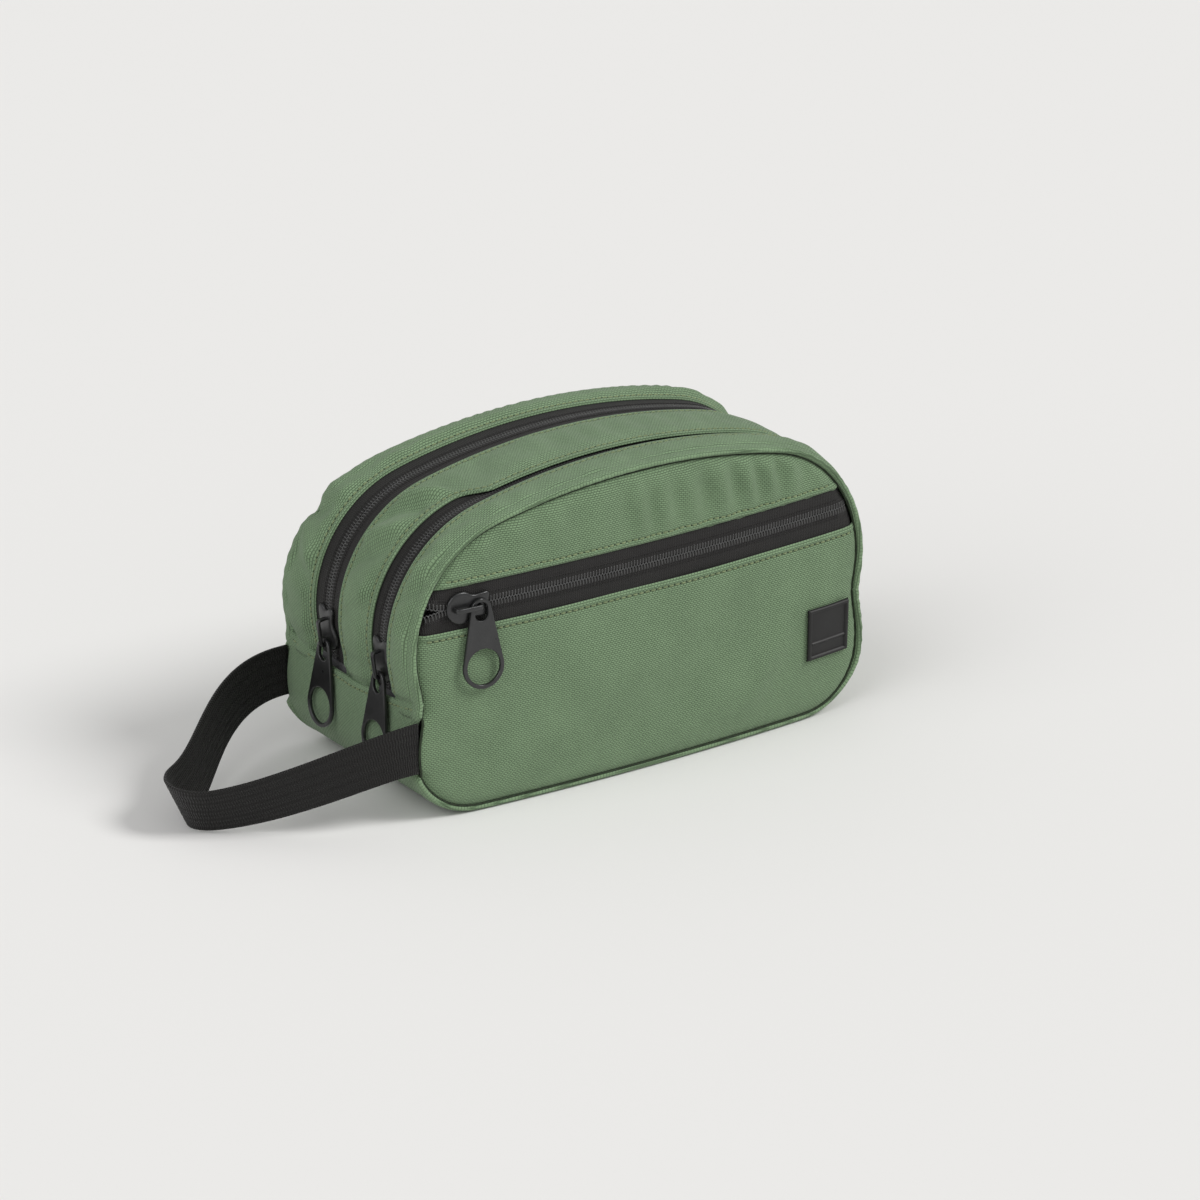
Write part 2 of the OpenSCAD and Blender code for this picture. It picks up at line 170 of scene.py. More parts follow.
def loop_at(s, off=0.0):
    """Points of the outline at arc lengths s, moved outwards by off."""
    s = np.mod(np.asarray(s, float), LOOP_L)
    px, pz, nx, nz = (np.interp(s, LOOP_S, column, period=LOOP_L) for column in (*LOOP_P.T, *LOOP_N.T))
    return px + off * nx, pz + off * nz


def on_floor(s):
    """1 on the flat base, 0 up on the sides."""
    _, z = loop_at(s)
    return 1 - smooth(z, 2, 26)


def at_strap(s):
    """1 where the handle's webbing comes out of the end seams."""
    x, z = loop_at(s)
    near, far = STRAP_W / 2 - 0.5, STRAP_W / 2 + 3.5
    inside = smooth(z, STRAP_Z - far, STRAP_Z - near) * (1 - smooth(z, STRAP_Z + near, STRAP_Z + far))
    return np.where(x < 0, inside, 0)


def seam_off(s):
    """How far the seam lies out from the outline."""
    return SEAM_OFF - 1.3 * on_floor(s)


# The seam's line round the front and back panels.
SEAM_S = np.arange(0, LOOP_L, 1.0)
SEAM = np.stack(loop_at(SEAM_S, seam_off(SEAM_S)), -1)


def seam_gap(x, z):
    """Distance to the panel's seam, and the seam's arc length there."""
    shape = np.shape(x)
    p = np.stack([np.ravel(x), np.ravel(z)], -1)
    gap, s = np.empty(len(p)), np.empty(len(p))
    for k in range(0, len(p), 4000):
        d = np.linalg.norm(p[k:k + 4000, None] - SEAM[None], axis=-1)
        i = d.argmin(1)
        gap[k:k + 4000], s[k:k + 4000] = d[np.arange(len(i)), i], SEAM_S[i]
    return gap.reshape(shape), s.reshape(shape)


def seam_span(z):
    """Left and right ends of the panel at height z."""
    left, right = SEAM[SEAM[:, 0] < 0], SEAM[SEAM[:, 0] > 0]
    left, right = left[left[:, 1].argsort()], right[right[:, 1].argsort()]
    return np.interp(z, left[:, 1], left[:, 0]), np.interp(z, right[:, 1], right[:, 0])


def seam_levels(x):
    """Bottom and top of the panel at place x along the bag."""
    low, high = SEAM[SEAM[:, 1] < BELLY_Z], SEAM[SEAM[:, 1] >= BELLY_Z]
    low, high = low[low[:, 0].argsort()], high[high[:, 0].argsort()]
    return np.interp(x, low[:, 0], low[:, 1]), np.interp(x, high[:, 0], high[:, 1])


# -------- mesh helpers
def lofted(rings, n):
    """Faces of a closed solid through rings of n vertices each."""
    faces = [[k * n + j, k * n + (j + 1) % n, (k + 1) * n + (j + 1) % n, (k + 1) * n + j]
             for k in range(rings - 1) for j in range(n)]
    return faces + [list(range(n))[::-1], [(rings - 1) * n + j for j in range(n)]]


def add(name, verts, faces, mat, body, nodes=(), uv=None):
    """A smooth-shaded piece from millimetre vertices, on its body, in place of the named CAD nodes."""
    mesh = bpy.data.meshes.new(name)
    mesh.from_pydata([tuple(v) for v in np.asarray(verts) * 0.001], [], faces)
    if uv is not None:
        layer = mesh.uv_layers.new(name="UVMap")
        index = np.empty(len(mesh.loops), int)
        mesh.loops.foreach_get("vertex_index", index)
        layer.data.foreach_set("uv", (np.asarray(uv)[index] * 0.001).astype(np.float32).ravel())
    mesh.polygons.foreach_set("use_smooth", [True] * len(mesh.polygons))
    mesh.materials.append(mat)
    mesh.update()
    obj = bpy.data.objects.new(name, mesh)
    bpy.context.scene.collection.objects.link(obj)
    if body:
        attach(obj, body)
    if nodes:
        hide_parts(*nodes)
    return obj


def grid_normals(p):
    """Unit normals of a grid of points."""
    return unit(np.cross(np.gradient(p, axis=0), np.gradient(p, axis=1)))


def sheet(name, p, uv, thick, mat, nodes, outward):
    """A closed cloth piece of the bag from a grid of outer points, thickened inwards."""
    m, n = p.shape[:2]
    nrm = grid_normals(p)
    flip = (nrm * outward).sum() < 0
    if flip:
        nrm = -nrm
    inner = p - nrm * (np.asarray(thick)[..., None] if np.ndim(thick) else thick)
    verts = np.concatenate([p.reshape(-1, 3), inner.reshape(-1, 3)])
    at = np.arange(m * n).reshape(m, n)
    a, b, c, d = at[:-1, :-1].ravel(), at[1:, :-1].ravel(), at[1:, 1:].ravel(), at[:-1, 1:].ravel()
    top = np.stack([a, b, c, d], -1)
    low = np.stack([d, c, b, a], -1) + m * n
    rim = np.concatenate([at[0, :], at[1:, -1], at[-1, -2::-1], at[-2:0:-1, 0]])
    nxt = np.roll(rim, -1)
    side = np.stack([rim, nxt, nxt + m * n, rim + m * n], -1)
    faces = np.concatenate([top, low, side])
    if flip:
        faces = faces[:, ::-1]
    faces = [[i for k, i in enumerate(f) if i != f[k - 1]] for f in faces.tolist()]
    uvs = np.concatenate([uv.reshape(-1, 2)] * 2)
    return add(name, verts, faces, mat, "bag", nodes, uvs)


def tubes(lines, radius, ups, sides=6):
    """Vertices and faces of closed tubes along the given lines; each up vector fixes where a tube's ring starts."""
    verts, faces = [], []
    ring = np.linspace(0, 2 * np.pi, sides, endpoint=False)[:, None]
    for line, up in zip(lines, ups):
        line = np.asarray(line, float)
        way = unit(np.gradient(line, axis=0))
        one = unit(np.cross(way, np.asarray(up, float)))
        two = np.cross(one, way)
        r = np.broadcast_to(radius, len(line))[:, None, None]
        base = len(verts)
        verts += list((line[:, None] + r * (np.cos(ring) * one[:, None] + np.sin(ring) * two[:, None])).reshape(-1, 3))
        faces += [[i + base for i in face] for face in lofted(len(line), sides)]
    return verts, faces


def stitches(name, rows, mat, pitch=3.3, length=2.2, radius=0.46, dark=None):
    """Rows of thread along lines that lie on the cloth: each row is (points, outward normals).

    With a dark look, dark pieces are made in the gaps between the stitches too: painted shade where the thread dips
    into the cloth.
    """
    lines, ups, gap_shade_lines = [], [], []
    for pts, nrm in rows:
        run = run_along(pts)
        for start in np.arange(1.5, run[-1] - length - 1, pitch):
            t = start + length * np.array([0, 0.12, 0.35, 0.65, 0.88, 1.0])
            p, n = sample(t, run, pts), unit(sample(t, run, nrm))
            rise = np.array([-0.35, 0.02, 0.2, 0.2, 0.02, -0.35]) * radius / 0.46
            lines.append(p + n * rise[:, None])
            ups.append(n[2])
            # Painted shade: a dark piece sunk into each gap between two stitches.
            gap = start + length + (pitch - length) * np.array([0.0, 0.35, 0.65, 1.0])
            gap_shade_lines.append(sample(gap, run, pts) - n[:4] * 0.22)
    verts, faces = tubes(lines, np.array([0.55, 0.9, 1, 1, 0.9, 0.55]) * radius, ups)
    if dark is not None:
        gap_shade_verts, gap_shade_faces = tubes(gap_shade_lines, np.array([0.5, 1, 1, 0.5]) * radius, ups)
        add(name + "_gap_shade", gap_shade_verts, gap_shade_faces, dark, "bag")
    add(name, verts, faces, mat, "bag")


# -------- materials
class Nodes:
    """A material's node tree, with short calls to add and link nodes."""

    def __init__(self, name):
        self.mat = bpy.data.materials.new(name)
        self.mat.use_nodes = True
        self.tree = self.mat.node_tree
        self.shader = self.tree.nodes["Principled BSDF"]

    def put(self, socket, value):
        if isinstance(value, bpy.types.NodeSocket):
            self.tree.links.new(value, socket)
        else:
            socket.default_value = value

    def math(self, kind, a, b=0.0):
        made = self.tree.nodes.new("ShaderNodeMath")
        made.operation = kind
        self.put(made.inputs[0], a)
        self.put(made.inputs[1], b)
        return made.outputs[0]

    def mix(self, fac, a, b):
        made = self.tree.nodes.new("ShaderNodeMix")
        made.data_type = "RGBA"
        self.put(made.inputs[0], fac)
        self.put(made.inputs[6], a)
        self.put(made.inputs[7], b)
        return made.outputs[2]

    def coords(self, uv):
        """The UV or object coordinates in millimetres."""
        source = self.tree.nodes.new("ShaderNodeTexCoord").outputs["UV" if uv else "Object"]
        made = self.tree.nodes.new("ShaderNodeMapping")
        made.inputs["Scale"].default_value = (1000, 1000, 1000)
        self.tree.links.new(source, made.inputs["Vector"])
        return made.outputs[0]

    def noise(self, vector, scale, detail):
        made = self.tree.nodes.new("ShaderNodeTexNoise")
        made.inputs["Scale"].default_value = scale
        made.inputs["Detail"].default_value = detail
        self.tree.links.new(vector, made.inputs["Vector"])
        return made.outputs[0]

    def bump(self, height, distance):
        made = self.tree.nodes.new("ShaderNodeBump")
        made.inputs["Distance"].default_value = distance
        made.inputs["Strength"].default_value = 1.0
        self.tree.links.new(height, made.inputs["Height"])
        return made.outputs[0]

    def finish(self, **values):
        for key, value in values.items():
            self.put(self.shader.inputs[key.replace("_", " ")], value)
        return self.mat


def srgb(r, g, b):
    """A display colour as the linear one that a shader takes."""
    def one(c):
        c /= 255
        return c / 12.92 if c <= 0.04045 else ((c + 0.055) / 1.055) ** 2.4
    return (one(r), one(g), one(b), 1.0)


def brick(n, vector, width, height, mortar):
    """The yarns of a weave: rows of short bricks with dark gaps."""
    made = n.tree.nodes.new("ShaderNodeTexBrick")
    made.offset = 0.5
    for key, value in (("Color1", (1, 1, 1, 1)), ("Color2", (0.8, 0.8, 0.8, 1)), ("Mortar", (0, 0, 0, 1)),
                       ("Scale", 1.0), ("Mortar Size", mortar), ("Mortar Smooth", 1.0),
                       ("Brick Width", width), ("Row Height", height)):
        made.inputs[key].default_value = value
    n.tree.links.new(vector, made.inputs["Vector"])
    return made.outputs["Color"]


def cloth_material(name, colour, dark, width, height, mortar, depth, uv=True, rough=0.78, sheen=0.12):
    """Woven cloth: rows of short yarns, mottled yarn colour and a soft sheen."""
    n = Nodes(name)
    vector = n.coords(uv)
    weave = brick(n, vector, width, height, mortar)
    level = n.tree.nodes.new("ShaderNodeRGBToBW")
    n.tree.links.new(weave, level.inputs[0])
    fine = n.noise(vector, 1.7, 2.0)
    cloud = n.noise(vector, 0.045, 3.0)
    tone = n.math("ADD", n.math("MULTIPLY", level.outputs[0], 0.8), n.math("MULTIPLY", fine, 0.35))
    tone = n.math("ADD", tone, n.math("MULTIPLY", n.math("SUBTRACT", cloud, 0.5), 0.35))
    height_in = n.math("ADD", level.outputs[0], n.math("MULTIPLY", fine, 0.5))
    normal = n.bump(height_in, depth)
    roughness = n.math("ADD", n.math("MULTIPLY", fine, 0.16), rough - 0.08)
    return n.finish(Base_Color=n.mix(tone, dark, colour), Roughness=roughness, Normal=normal,
                    Sheen_Weight=sheen, Sheen_Roughness=0.45, Specular_IOR_Level=0.3)


def ribbed_material(name, colour, dark, pitch, across, depth, rough=0.62):
    """Narrow woven goods, such as zip tape and webbing: ribs across, warp lines along, in UV millimetres."""
    n = Nodes(name)
    vector = n.coords(True)
    split = n.tree.nodes.new("ShaderNodeSeparateXYZ")
    n.tree.links.new(vector, split.inputs[0])
    u, v = split.outputs[0], split.outputs[1]
    lane = n.math("MULTIPLY", v, 2 * math.pi / across)
    shift = n.math("MULTIPLY", n.math("SINE", lane), 0.9)
    rib = n.math("SINE", n.math("ADD", n.math("MULTIPLY", u, 2 * math.pi / pitch), shift))
    warp = n.math("SINE", n.math("MULTIPLY", v, 2 * math.pi / (across * 0.5)))
    fine = n.noise(vector, 1.4, 3.0)
    worn = n.noise(vector, 0.06, 2.0)
    height_in = n.math("ADD", n.math("ADD", rib, n.math("MULTIPLY", warp, 0.5)), fine)
    mottle = n.math("ADD", n.math("MULTIPLY", fine, 0.5), n.math("MULTIPLY", worn, 0.4))
    tone = n.math("ADD", n.math("MULTIPLY", rib, 0.2), mottle)
    roughness = n.math("ADD", n.math("MULTIPLY", fine, 0.2), rough - 0.1)
    return n.finish(Base_Color=n.mix(tone, dark, colour), Roughness=roughness, Normal=n.bump(height_in, depth),
                    Sheen_Weight=0.06, Sheen_Roughness=0.4, Specular_IOR_Level=0.35)


def solid_material(name, colour, dark, rough, metallic, depth, scale, coat=0.0):
    """Painted metal, nylon or rubber: a fine cast surface with faint mottling."""
    n = Nodes(name)
    vector = n.coords(False)
    fine = n.noise(vector, scale, 4.0)
    cloud = n.noise(vector, 0.12, 2.0)
    tone = n.math("ADD", n.math("MULTIPLY", fine, 0.5), n.math("MULTIPLY", cloud, 0.5))
    roughness = n.math("ADD", n.math("MULTIPLY", cloud, 0.14), rough - 0.07)
    return n.finish(Base_Color=n.mix(tone, dark, colour), Roughness=roughness, Metallic=metallic,
                    Normal=n.bump(fine, depth), Coat_Weight=coat, Coat_Roughness=0.35)


GREEN, GREEN_DARK = srgb(128, 154, 119), srgb(70, 90, 64)
shell = cloth_material("shell_fabric_look", GREEN, GREEN_DARK, 1.7, 0.95, 0.24, 0.0003)
lining = cloth_material("lining_look", srgb(84, 84, 86), srgb(52, 52, 54), 0.5, 0.25, 0.05, 0.00005,
                        uv=False, rough=0.6)
binding = cloth_material("binding_look", srgb(48, 48, 48), srgb(24, 24, 24), 1.2, 0.6, 0.12, 0.0001, uv=False)
tape = ribbed_material("zip_tape_look", srgb(40, 38, 37), srgb(9, 8, 8), 1.0, 1.5, 0.00008)
webbing = ribbed_material("webbing_look", srgb(27, 25, 23), srgb(4, 3, 3), 1.25, 5.2, 0.00025, 0.66)
nylon = solid_material("nylon_coil_look", srgb(88, 88, 88), srgb(40, 40, 40), 0.26, 0.0, 0.00002, 2.0)
rubber = solid_material("rubber_look", srgb(18, 17, 17), srgb(8, 8, 8), 0.52, 0.0, 0.00003, 2.6)
metal = solid_material("black_metal_look", srgb(74, 74, 75), srgb(46, 47, 47), 0.3, 0.75, 0.00002, 1.6, 0.25)
thread = cloth_material("thread_look", srgb(136, 150, 112), srgb(92, 108, 76), 0.8, 0.3, 0.08, 0.00006,
                        uv=False, sheen=0.1)
# Painted shade: a dark green for the seam grooves and for the gaps between stitches.
seam_shade_paint = cloth_material("painted_seam_shade_look", srgb(50, 62, 44), srgb(22, 30, 19), 0.8, 0.3, 0.08, 0.00006,
                           uv=False, sheen=0.0)

# The pieces inside the bag keep the frame's meshes and get their looks.
for name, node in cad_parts.items():
    if name in ("pocket_back_panel", "divider_panel", "front_lining", "rear_lining"):
        look = lining
    elif name.endswith("binding"):
        look = binding
    else:
        look = None
    if look is not None:
        node.data.materials.clear()
        node.data.materials.append(look)


# -------- front and back panels
FRONT_Z0, FRONT_Z1 = FRONT_ZIP_Z - FRONT_BAND / 2, FRONT_ZIP_Z + FRONT_BAND / 2
# Distances from a turned edge at which its cloth needs rows of points.
FOLD_STEPS = np.array([0, 0.25, 0.5, 0.8, 1.1, 1.5, 1.9, 2.3, 2.7, 3.1, 3.5, 3.9, 4.4, 5.0])


def edge_drop(gap, s):
    """How far a panel falls back into its seam, with small puckers along it."""
    depth = SEAM_SINK - 2.4 * at_strap(s) - 1.3 * on_floor(s)
    drop = depth * np.exp(-(gap / 2.9) ** 1.25)
    puckers = 0.34 * ripple(s, PUCKER_PITCH, PUCKER_SEED) * np.exp(-gap / 5.0) * smooth(gap, 0, 2)
    return drop + puckers * (1 - at_strap(s))


def swell_front(x, z):
    """How far the front cloth stands out past the frame: fuller low down, flat behind the pull."""
    low = 1.3 * hump(x, 20, 75) * hump(z, 38, 34) + 0.9 * hump(x, 92, 26) * hump(z, 66, 18)
    left = 0.5 * hump(x, -70, 22) * hump(z, 28, 16)
    fold = 1.1 * np.sin((x + 0.9 * z) / 15) * hump(x, -20, 60) * hump(z, 66, 24)
    fold += 1.2 * np.sin((x - 1.3 * z) / 19) * hump(x, 30, 70) * hump(z, 45, 35)
    slant = x - 0.55 * (z - 30)
    crease = 0.9 * hump(slant, 62, 7) * hump(z, 30, 26) - 0.8 * hump(slant, 76, 8) * hump(z, 34, 24)
    clear = 1 - hump(x, -92, 14) * smooth(z, 48, 60)
    return (low + left + fold + crease) * clear


def front_skin(x, z):
    """Where the front cloth lies: swelled, sewn in all round, and turned under along the zip's two edges."""
    gap, s = seam_gap(x, z)
    y = front_y(x, z) - swell_front(x, z) * smooth(gap, 2, 22) + edge_drop(gap, s)
    under, over = FRONT_Z0 - z, z - FRONT_Z1
    t = np.where(under >= -0.01, under, over)
    fold = 0.85 * np.exp(-(np.maximum(t, 0) / 0.75) ** 2) * smooth(gap, 1, 6)
    fold += 0.32 * hump(t, STITCH_IN, 0.75) - 0.3 * hump(t, 1.6, 0.9)
    fold += 0.2 * ripple(x, 10.5, 11) * np.exp(-np.maximum(t, 0) / 7) * smooth(t, 1.0, 4.5)
    pucker = 2.0 * np.sin(2 * np.pi * (x + 0.12 * z) / 15 + 0.9 * np.sin(x / 11)) * hump(x, 50, 52)
    pucker += 0.9 * ripple(x, 19, 5)
    y += np.where(over > 0, pucker * hump(over, 17, 12) * smooth(gap, 0.5, 5), 0)
    return y + fold


def spread(n):
    """Steps from 0 to 1, closer together at both ends."""
    t = np.linspace(0, 1, n)
    return (1 - np.cos(np.pi * t)) / 2 * 0.45 + t * 0.55


FRONT_COLS, BACK_COLS, BACK_ROWS = 190, 150, 110


def panel(name, x, y, z, node, facing):
    """The front's or back's cloth."""
    sheet(name, np.stack([x, y, z], -1), np.stack([x, z], -1), PANEL_CLOTH_T, shell, [node],
          np.array([0, facing, 0]))


z_low = SEAM[:, 1].min() + 0.01
rows = np.unique(np.concatenate([z_low + 14 * np.linspace(0, 1, 16) ** 1.6, np.arange(z_low + 15, FRONT_Z0 - 6, 1.5),
                                 FRONT_Z0 - FOLD_STEPS, [FRONT_Z0 - 5.6]]))
lo, hi = seam_span(rows)
px = lo[:, None] + (hi - lo)[:, None] * spread(FRONT_COLS)[None]
pz = np.repeat(rows[:, None], FRONT_COLS, 1)
panel("front_pocket_cloth", px, front_skin(px, pz), pz, "front_pocket_panel", -1)

top_l, top_r = seam_span(np.array([FRONT_Z1]))
ux = top_l[0] + (top_r[0] - top_l[0]) * spread(FRONT_COLS)
top = seam_levels(ux)[1]
steps = np.unique(np.concatenate([FOLD_STEPS / 34, np.linspace(5 / 34, 0.86, 20), np.linspace(0.86, 1, 9)]))
uz = FRONT_Z1 + (np.maximum(top, FRONT_Z1 + 0.02) - FRONT_Z1)[None] * steps[:, None]
uxx = np.repeat(ux[None], len(steps), 0)
panel("front_upper_cloth", uxx, front_skin(uxx, uz), uz, "front_upper_panel", -1)

bx = (SEAM[:, 0].min() + 0.05) + (SEAM[:, 0].max() - SEAM[:, 0].min() - 0.1) * spread(BACK_COLS)
lo, hi = seam_levels(bx)
bz = lo[None] + (hi - lo)[None] * spread(BACK_ROWS)[:, None]
bxx = np.repeat(bx[None], BACK_ROWS, 0)
gap, s = seam_gap(bxx, bz)
back_swell = 3.2 * hump(bxx, 0, 80) * hump(bz, 58, 42) + 0.7 * np.sin((bxx - 0.7 * bz) / 19) * hump(bz, 88, 34)
back_swell += 0.6 * np.sin((bxx + bz) / 23) * hump(bz, 30, 25)
byy = back_y(bz) + back_swell * smooth(gap, 2, 24) - edge_drop(gap, s)
panel("back_cloth", bxx, byy, bz, "back_panel", 1)


# -------- gusset: top strips and base
# The rolled edge beside a seam, as steps in from the panel (DY) and out from the outline (OFF): over the arch,
# on the floor, and where the handle's webbing holds it flat.
LIP_DY = np.array([3.4, 2.2, 1.1, 0.45, 0.25, 0.6, 1.5, 2.9, 4.6])
LIP_OFF = np.array([-1.9, -1.85, -1.4, -0.75, 0.0, 0.7, 1.2, 1.45, 1.55])
FLOOR_DY = np.array([1.9, 1.1, 0.6, 0.4, 0.6, 1.2, 2.1, 3.4, 5.0])
FLOOR_OFF = np.array([-3.2, -3.1, -2.7, -2.0, -1.3, -0.7, -0.3, -0.08, 0.0])
HELD_DY = np.array([3.4, 3.3, 3.2, 3.2, 3.4, 3.8, 4.4, 5.2, 6.2])
HELD_OFF = np.array([-1.9, -1.6, -1.2, -0.9, -0.6, -0.4, -0.25, -0.1, 0.0])


def lip(s):
    """The rolled edge of the gusset beside a seam, as steps in from the panel and out from the outline."""
    f, h = on_floor(s)[..., None], at_strap(s)[..., None]
    dy = LIP_DY * (1 - f) + FLOOR_DY * f
    off = LIP_OFF * (1 - f) + FLOOR_OFF * f
    wave = 0.24 * ripple(s, PUCKER_PITCH, PUCKER_SEED)[..., None] * smooth(np.arange(9), 1, 4) * (1 - f)
    return dy * (1 - h) + HELD_DY * h, (off + wave) * (1 - h) + HELD_OFF * h


def fold_off(t):
    """Height of a turned edge at distance t from its fold, with the groove of its stitching."""
    t = np.maximum(t, 0)
    return -0.75 * np.exp(-(t / 0.55) ** 2) + 0.35 * smooth(t, 0, 1.2) - 0.32 * hump(t, STITCH_IN, 0.8)


EDGE_STEPS = np.array([0, 0.3, 0.6, 1.0, 1.5, 2.0, 2.6, 3.1, 3.6, 4.2, 5.0])
LIP_GAP = 1.2


def strip_grid(s, y_from, y_to, off, inner):
    """Grid over arc lengths s, between two turned edges. An edge that is None is the rolled one at that panel.

    off(s, y, a, b) is the cloth's height between edges a and b, and inner is the number of columns between them.
    """
    x, z = loop_at(s)
    dy, lip_off = lip(s)
    front_lip, back_lip = y_from is None, y_to is None
    y0 = front_y(x, z)[..., None] + dy
    y1 = (back_y(z)[..., None] - dy)[..., ::-1]
    a = y0[..., -1] + LIP_GAP if front_lip else y_from
    b = y1[..., 0] - LIP_GAP if back_lip else y_to
    mid_a, mid_b = a + (0 if front_lip else EDGE_STEPS[-1] + 1), b - (0 if back_lip else EDGE_STEPS[-1] + 1)
    columns = [mid_a[:, None] + (mid_b - mid_a)[:, None] * np.linspace(0, 1, inner)[None]]
    if not front_lip:
        columns.insert(0, a[:, None] + EDGE_STEPS[None])
    if not back_lip:
        columns.append(b[:, None] - EDGE_STEPS[::-1][None])
    y = np.concatenate(columns, 1)
    o = off(np.repeat(s[:, None], y.shape[1], 1), y, a[:, None], b[:, None])
    if front_lip:
        y, o = np.concatenate([y0, y], 1), np.concatenate([lip_off, o], 1)
    if back_lip:
        notch = (1.5 * hump(s, 75, 6) - 3.0 * hump(s, 62, 5))[:, None] * smooth(np.arange(9), 0, 4)
        y, o = np.concatenate([y, y1], 1), np.concatenate([o, (lip_off + notch)[..., ::-1]], 1)
    ss = np.repeat(s[:, None], y.shape[1], 1)
    x, z = loop_at(ss, o)
    return np.stack([x, y, z], -1), np.stack([ss, y], -1)


def end_dip(y):
    """How far the end seams sag below their ends."""
    return 6.5 * (1 - (np.clip(y, -57, 57) / 57.5) ** 2)


def end_sink(s, y):
    """The strips go under the base gusset at both ends."""
    beyond = np.maximum(-s, s - ARCH_L) - end_dip(y)
    return -1.9 * smooth(beyond, -4.0, -0.6)


STRIP_TAIL = 9.0
arch_s = np.arange(-STRIP_TAIL, ARCH_L + STRIP_TAIL + 0.01, 1.5)


def front_strip_off(s, y, a, b):
    t, w = b - y, (y - a) / np.maximum(b - a, 1)
    puff = 1.55 + 1.5 * np.sin(np.pi * np.clip(w, 0, 1)) * (0.8 + 0.3 * np.sin(s / 31))
    puff += 0.6 * ripple(s, 15, 21) * hump(w, 0.25, 0.3) + 0.5 * hump(s, 100, 12) * hump(w, 0.3, 0.3)
    puff += creases(s, w, [(2.2, 12, 66, 6), (-2.0, 12, 54, 5), (1.5, -10, 30, 6), (-1.0, -12, 176, 8)])
    puff -= 2.2 * hump(s + 14 * w, 96, 6) * hump(w, 0.5, 0.4) + 0.8 * hump(s, 262, 9) * hump(w, 0.4, 0.4)
    edge = smooth(t, 2.5, 9)
    o = (fold_off(t) + 2.3) * (1 - edge) + (puff + 1.0) * edge + 0.3 * ripple(s, 11, 22) * hump(t, 6, 3)
    return o + end_sink(s, y)


FLAP_S, FLAP_W = 112.0, 9.0


def flap(s):
    """How far the middle strip hangs over the front compartment's zip, clear of the slider's travel."""
    return FLAP_W * smooth(s, FLAP_S - 11, FLAP_S + 5) * (1 - smooth(s, ARCH_L - 75, ARCH_L - 45))


def middle_off(s, y, a, b):
    ta, tb = y - a, b - y
    w = ta / np.maximum(b - a, 1)
    puff = 0.6 + 2.2 * np.sin(np.pi * np.clip(w, 0, 1)) * (0.85 + 0.2 * np.sin(s / 27 + 1))
    puff += creases(s, w, [(3.2, 22, 103.6, 4), (-3.0, 22, 92.6, 5), (3.4, 20, 78, 4.5), (-2.6, 20, 66, 5),
                           (2.2, 8, 42, 5), (-1.6, 8, 32, 5), (-1.6, -20, 108, 8), (1.4, -20, 138, 10)])
    puff += 0.75 * ripple(s, 17, 31) * hump(w, 0.5, 0.3)
    t = np.minimum(ta, tb)
    edge = smooth(t, 2.5, 9)
    o = (fold_off(t) + 0.2) * (1 - edge) + puff * edge + 0.3 * ripple(s, 11, 32) * hump(t, 6, 3)
    o += 0.9 * flap(s) / FLAP_W * (1 - smooth(ta, 4, 16))
    return o + end_sink(s, y)


def rear_off(s, y, a, b):
    t, w = y - a, (y - a) / np.maximum(b - a, 1)
    puff = 1.55 + 1.7 * np.sin(np.pi * np.clip(w, 0, 1)) * (0.8 + 0.35 * np.sin(s / 23 + 2))
    puff -= 2.6 * hump(s + 6 * w, 67, 6) * smooth(w, 0.2, 0.8) + 1.3 * hump(s, 88, 8) * hump(w, 0.6, 0.5)
    puff += creases(s, w, [(2.0, -14, 38, 6), (-1.8, -14, 27, 6)])
    puff += 1.6 * hump(s + 6 * w, 77, 6) * smooth(w, 0.1, 0.7) + 0.5 * ripple(s, 19, 41)
    edge = smooth(t, 2.5, 8)
    o = fold_off(t) * (1 - edge) + puff * edge + 0.22 * ripple(s, 10, 42) * hump(t, 6, 3)
    return o + end_sink(s, y)


full = np.ones(len(arch_s))
FRONT_FOLD = (TOP_FRONT_Y - TOP_FRONT_BAND / 2) * full
MID_A = (TOP_FRONT_Y + TOP_FRONT_BAND / 2) * full - flap(arch_s)
MID_B = (TOP_REAR_Y - TOP_REAR_BAND / 2) * full
REAR_FOLD = (TOP_REAR_Y + TOP_REAR_BAND / 2) * full
strips = [
    ("front_strip_cloth", "front_gusset_strip", strip_grid(arch_s, None, FRONT_FOLD, front_strip_off, 16)),
    ("middle_strip_cloth", "middle_gusset_strip", strip_grid(arch_s, MID_A, MID_B, middle_off, 22)),
    ("rear_strip_cloth", "rear_gusset_strip", strip_grid(arch_s, REAR_FOLD, None, rear_off, 18)),
]


BAG_CORE = np.array([0, 0, 60.0])


def outward_of(p):
    """The way out from the bag's middle, across the bag."""
    return (p - BAG_CORE) * np.array([1, 0, 1])


for name, node, (p, uv) in strips:
    sheet(name, p, uv, STRIP_CLOTH_T, shell, [node], outward_of(p))


# The base gusset laps over the strips at its two top edges.
base_t = np.unique(np.concatenate([np.linspace(0, 0.03, 14), np.linspace(0.03, 0.97, 150), np.linspace(0.97, 1, 14)]))


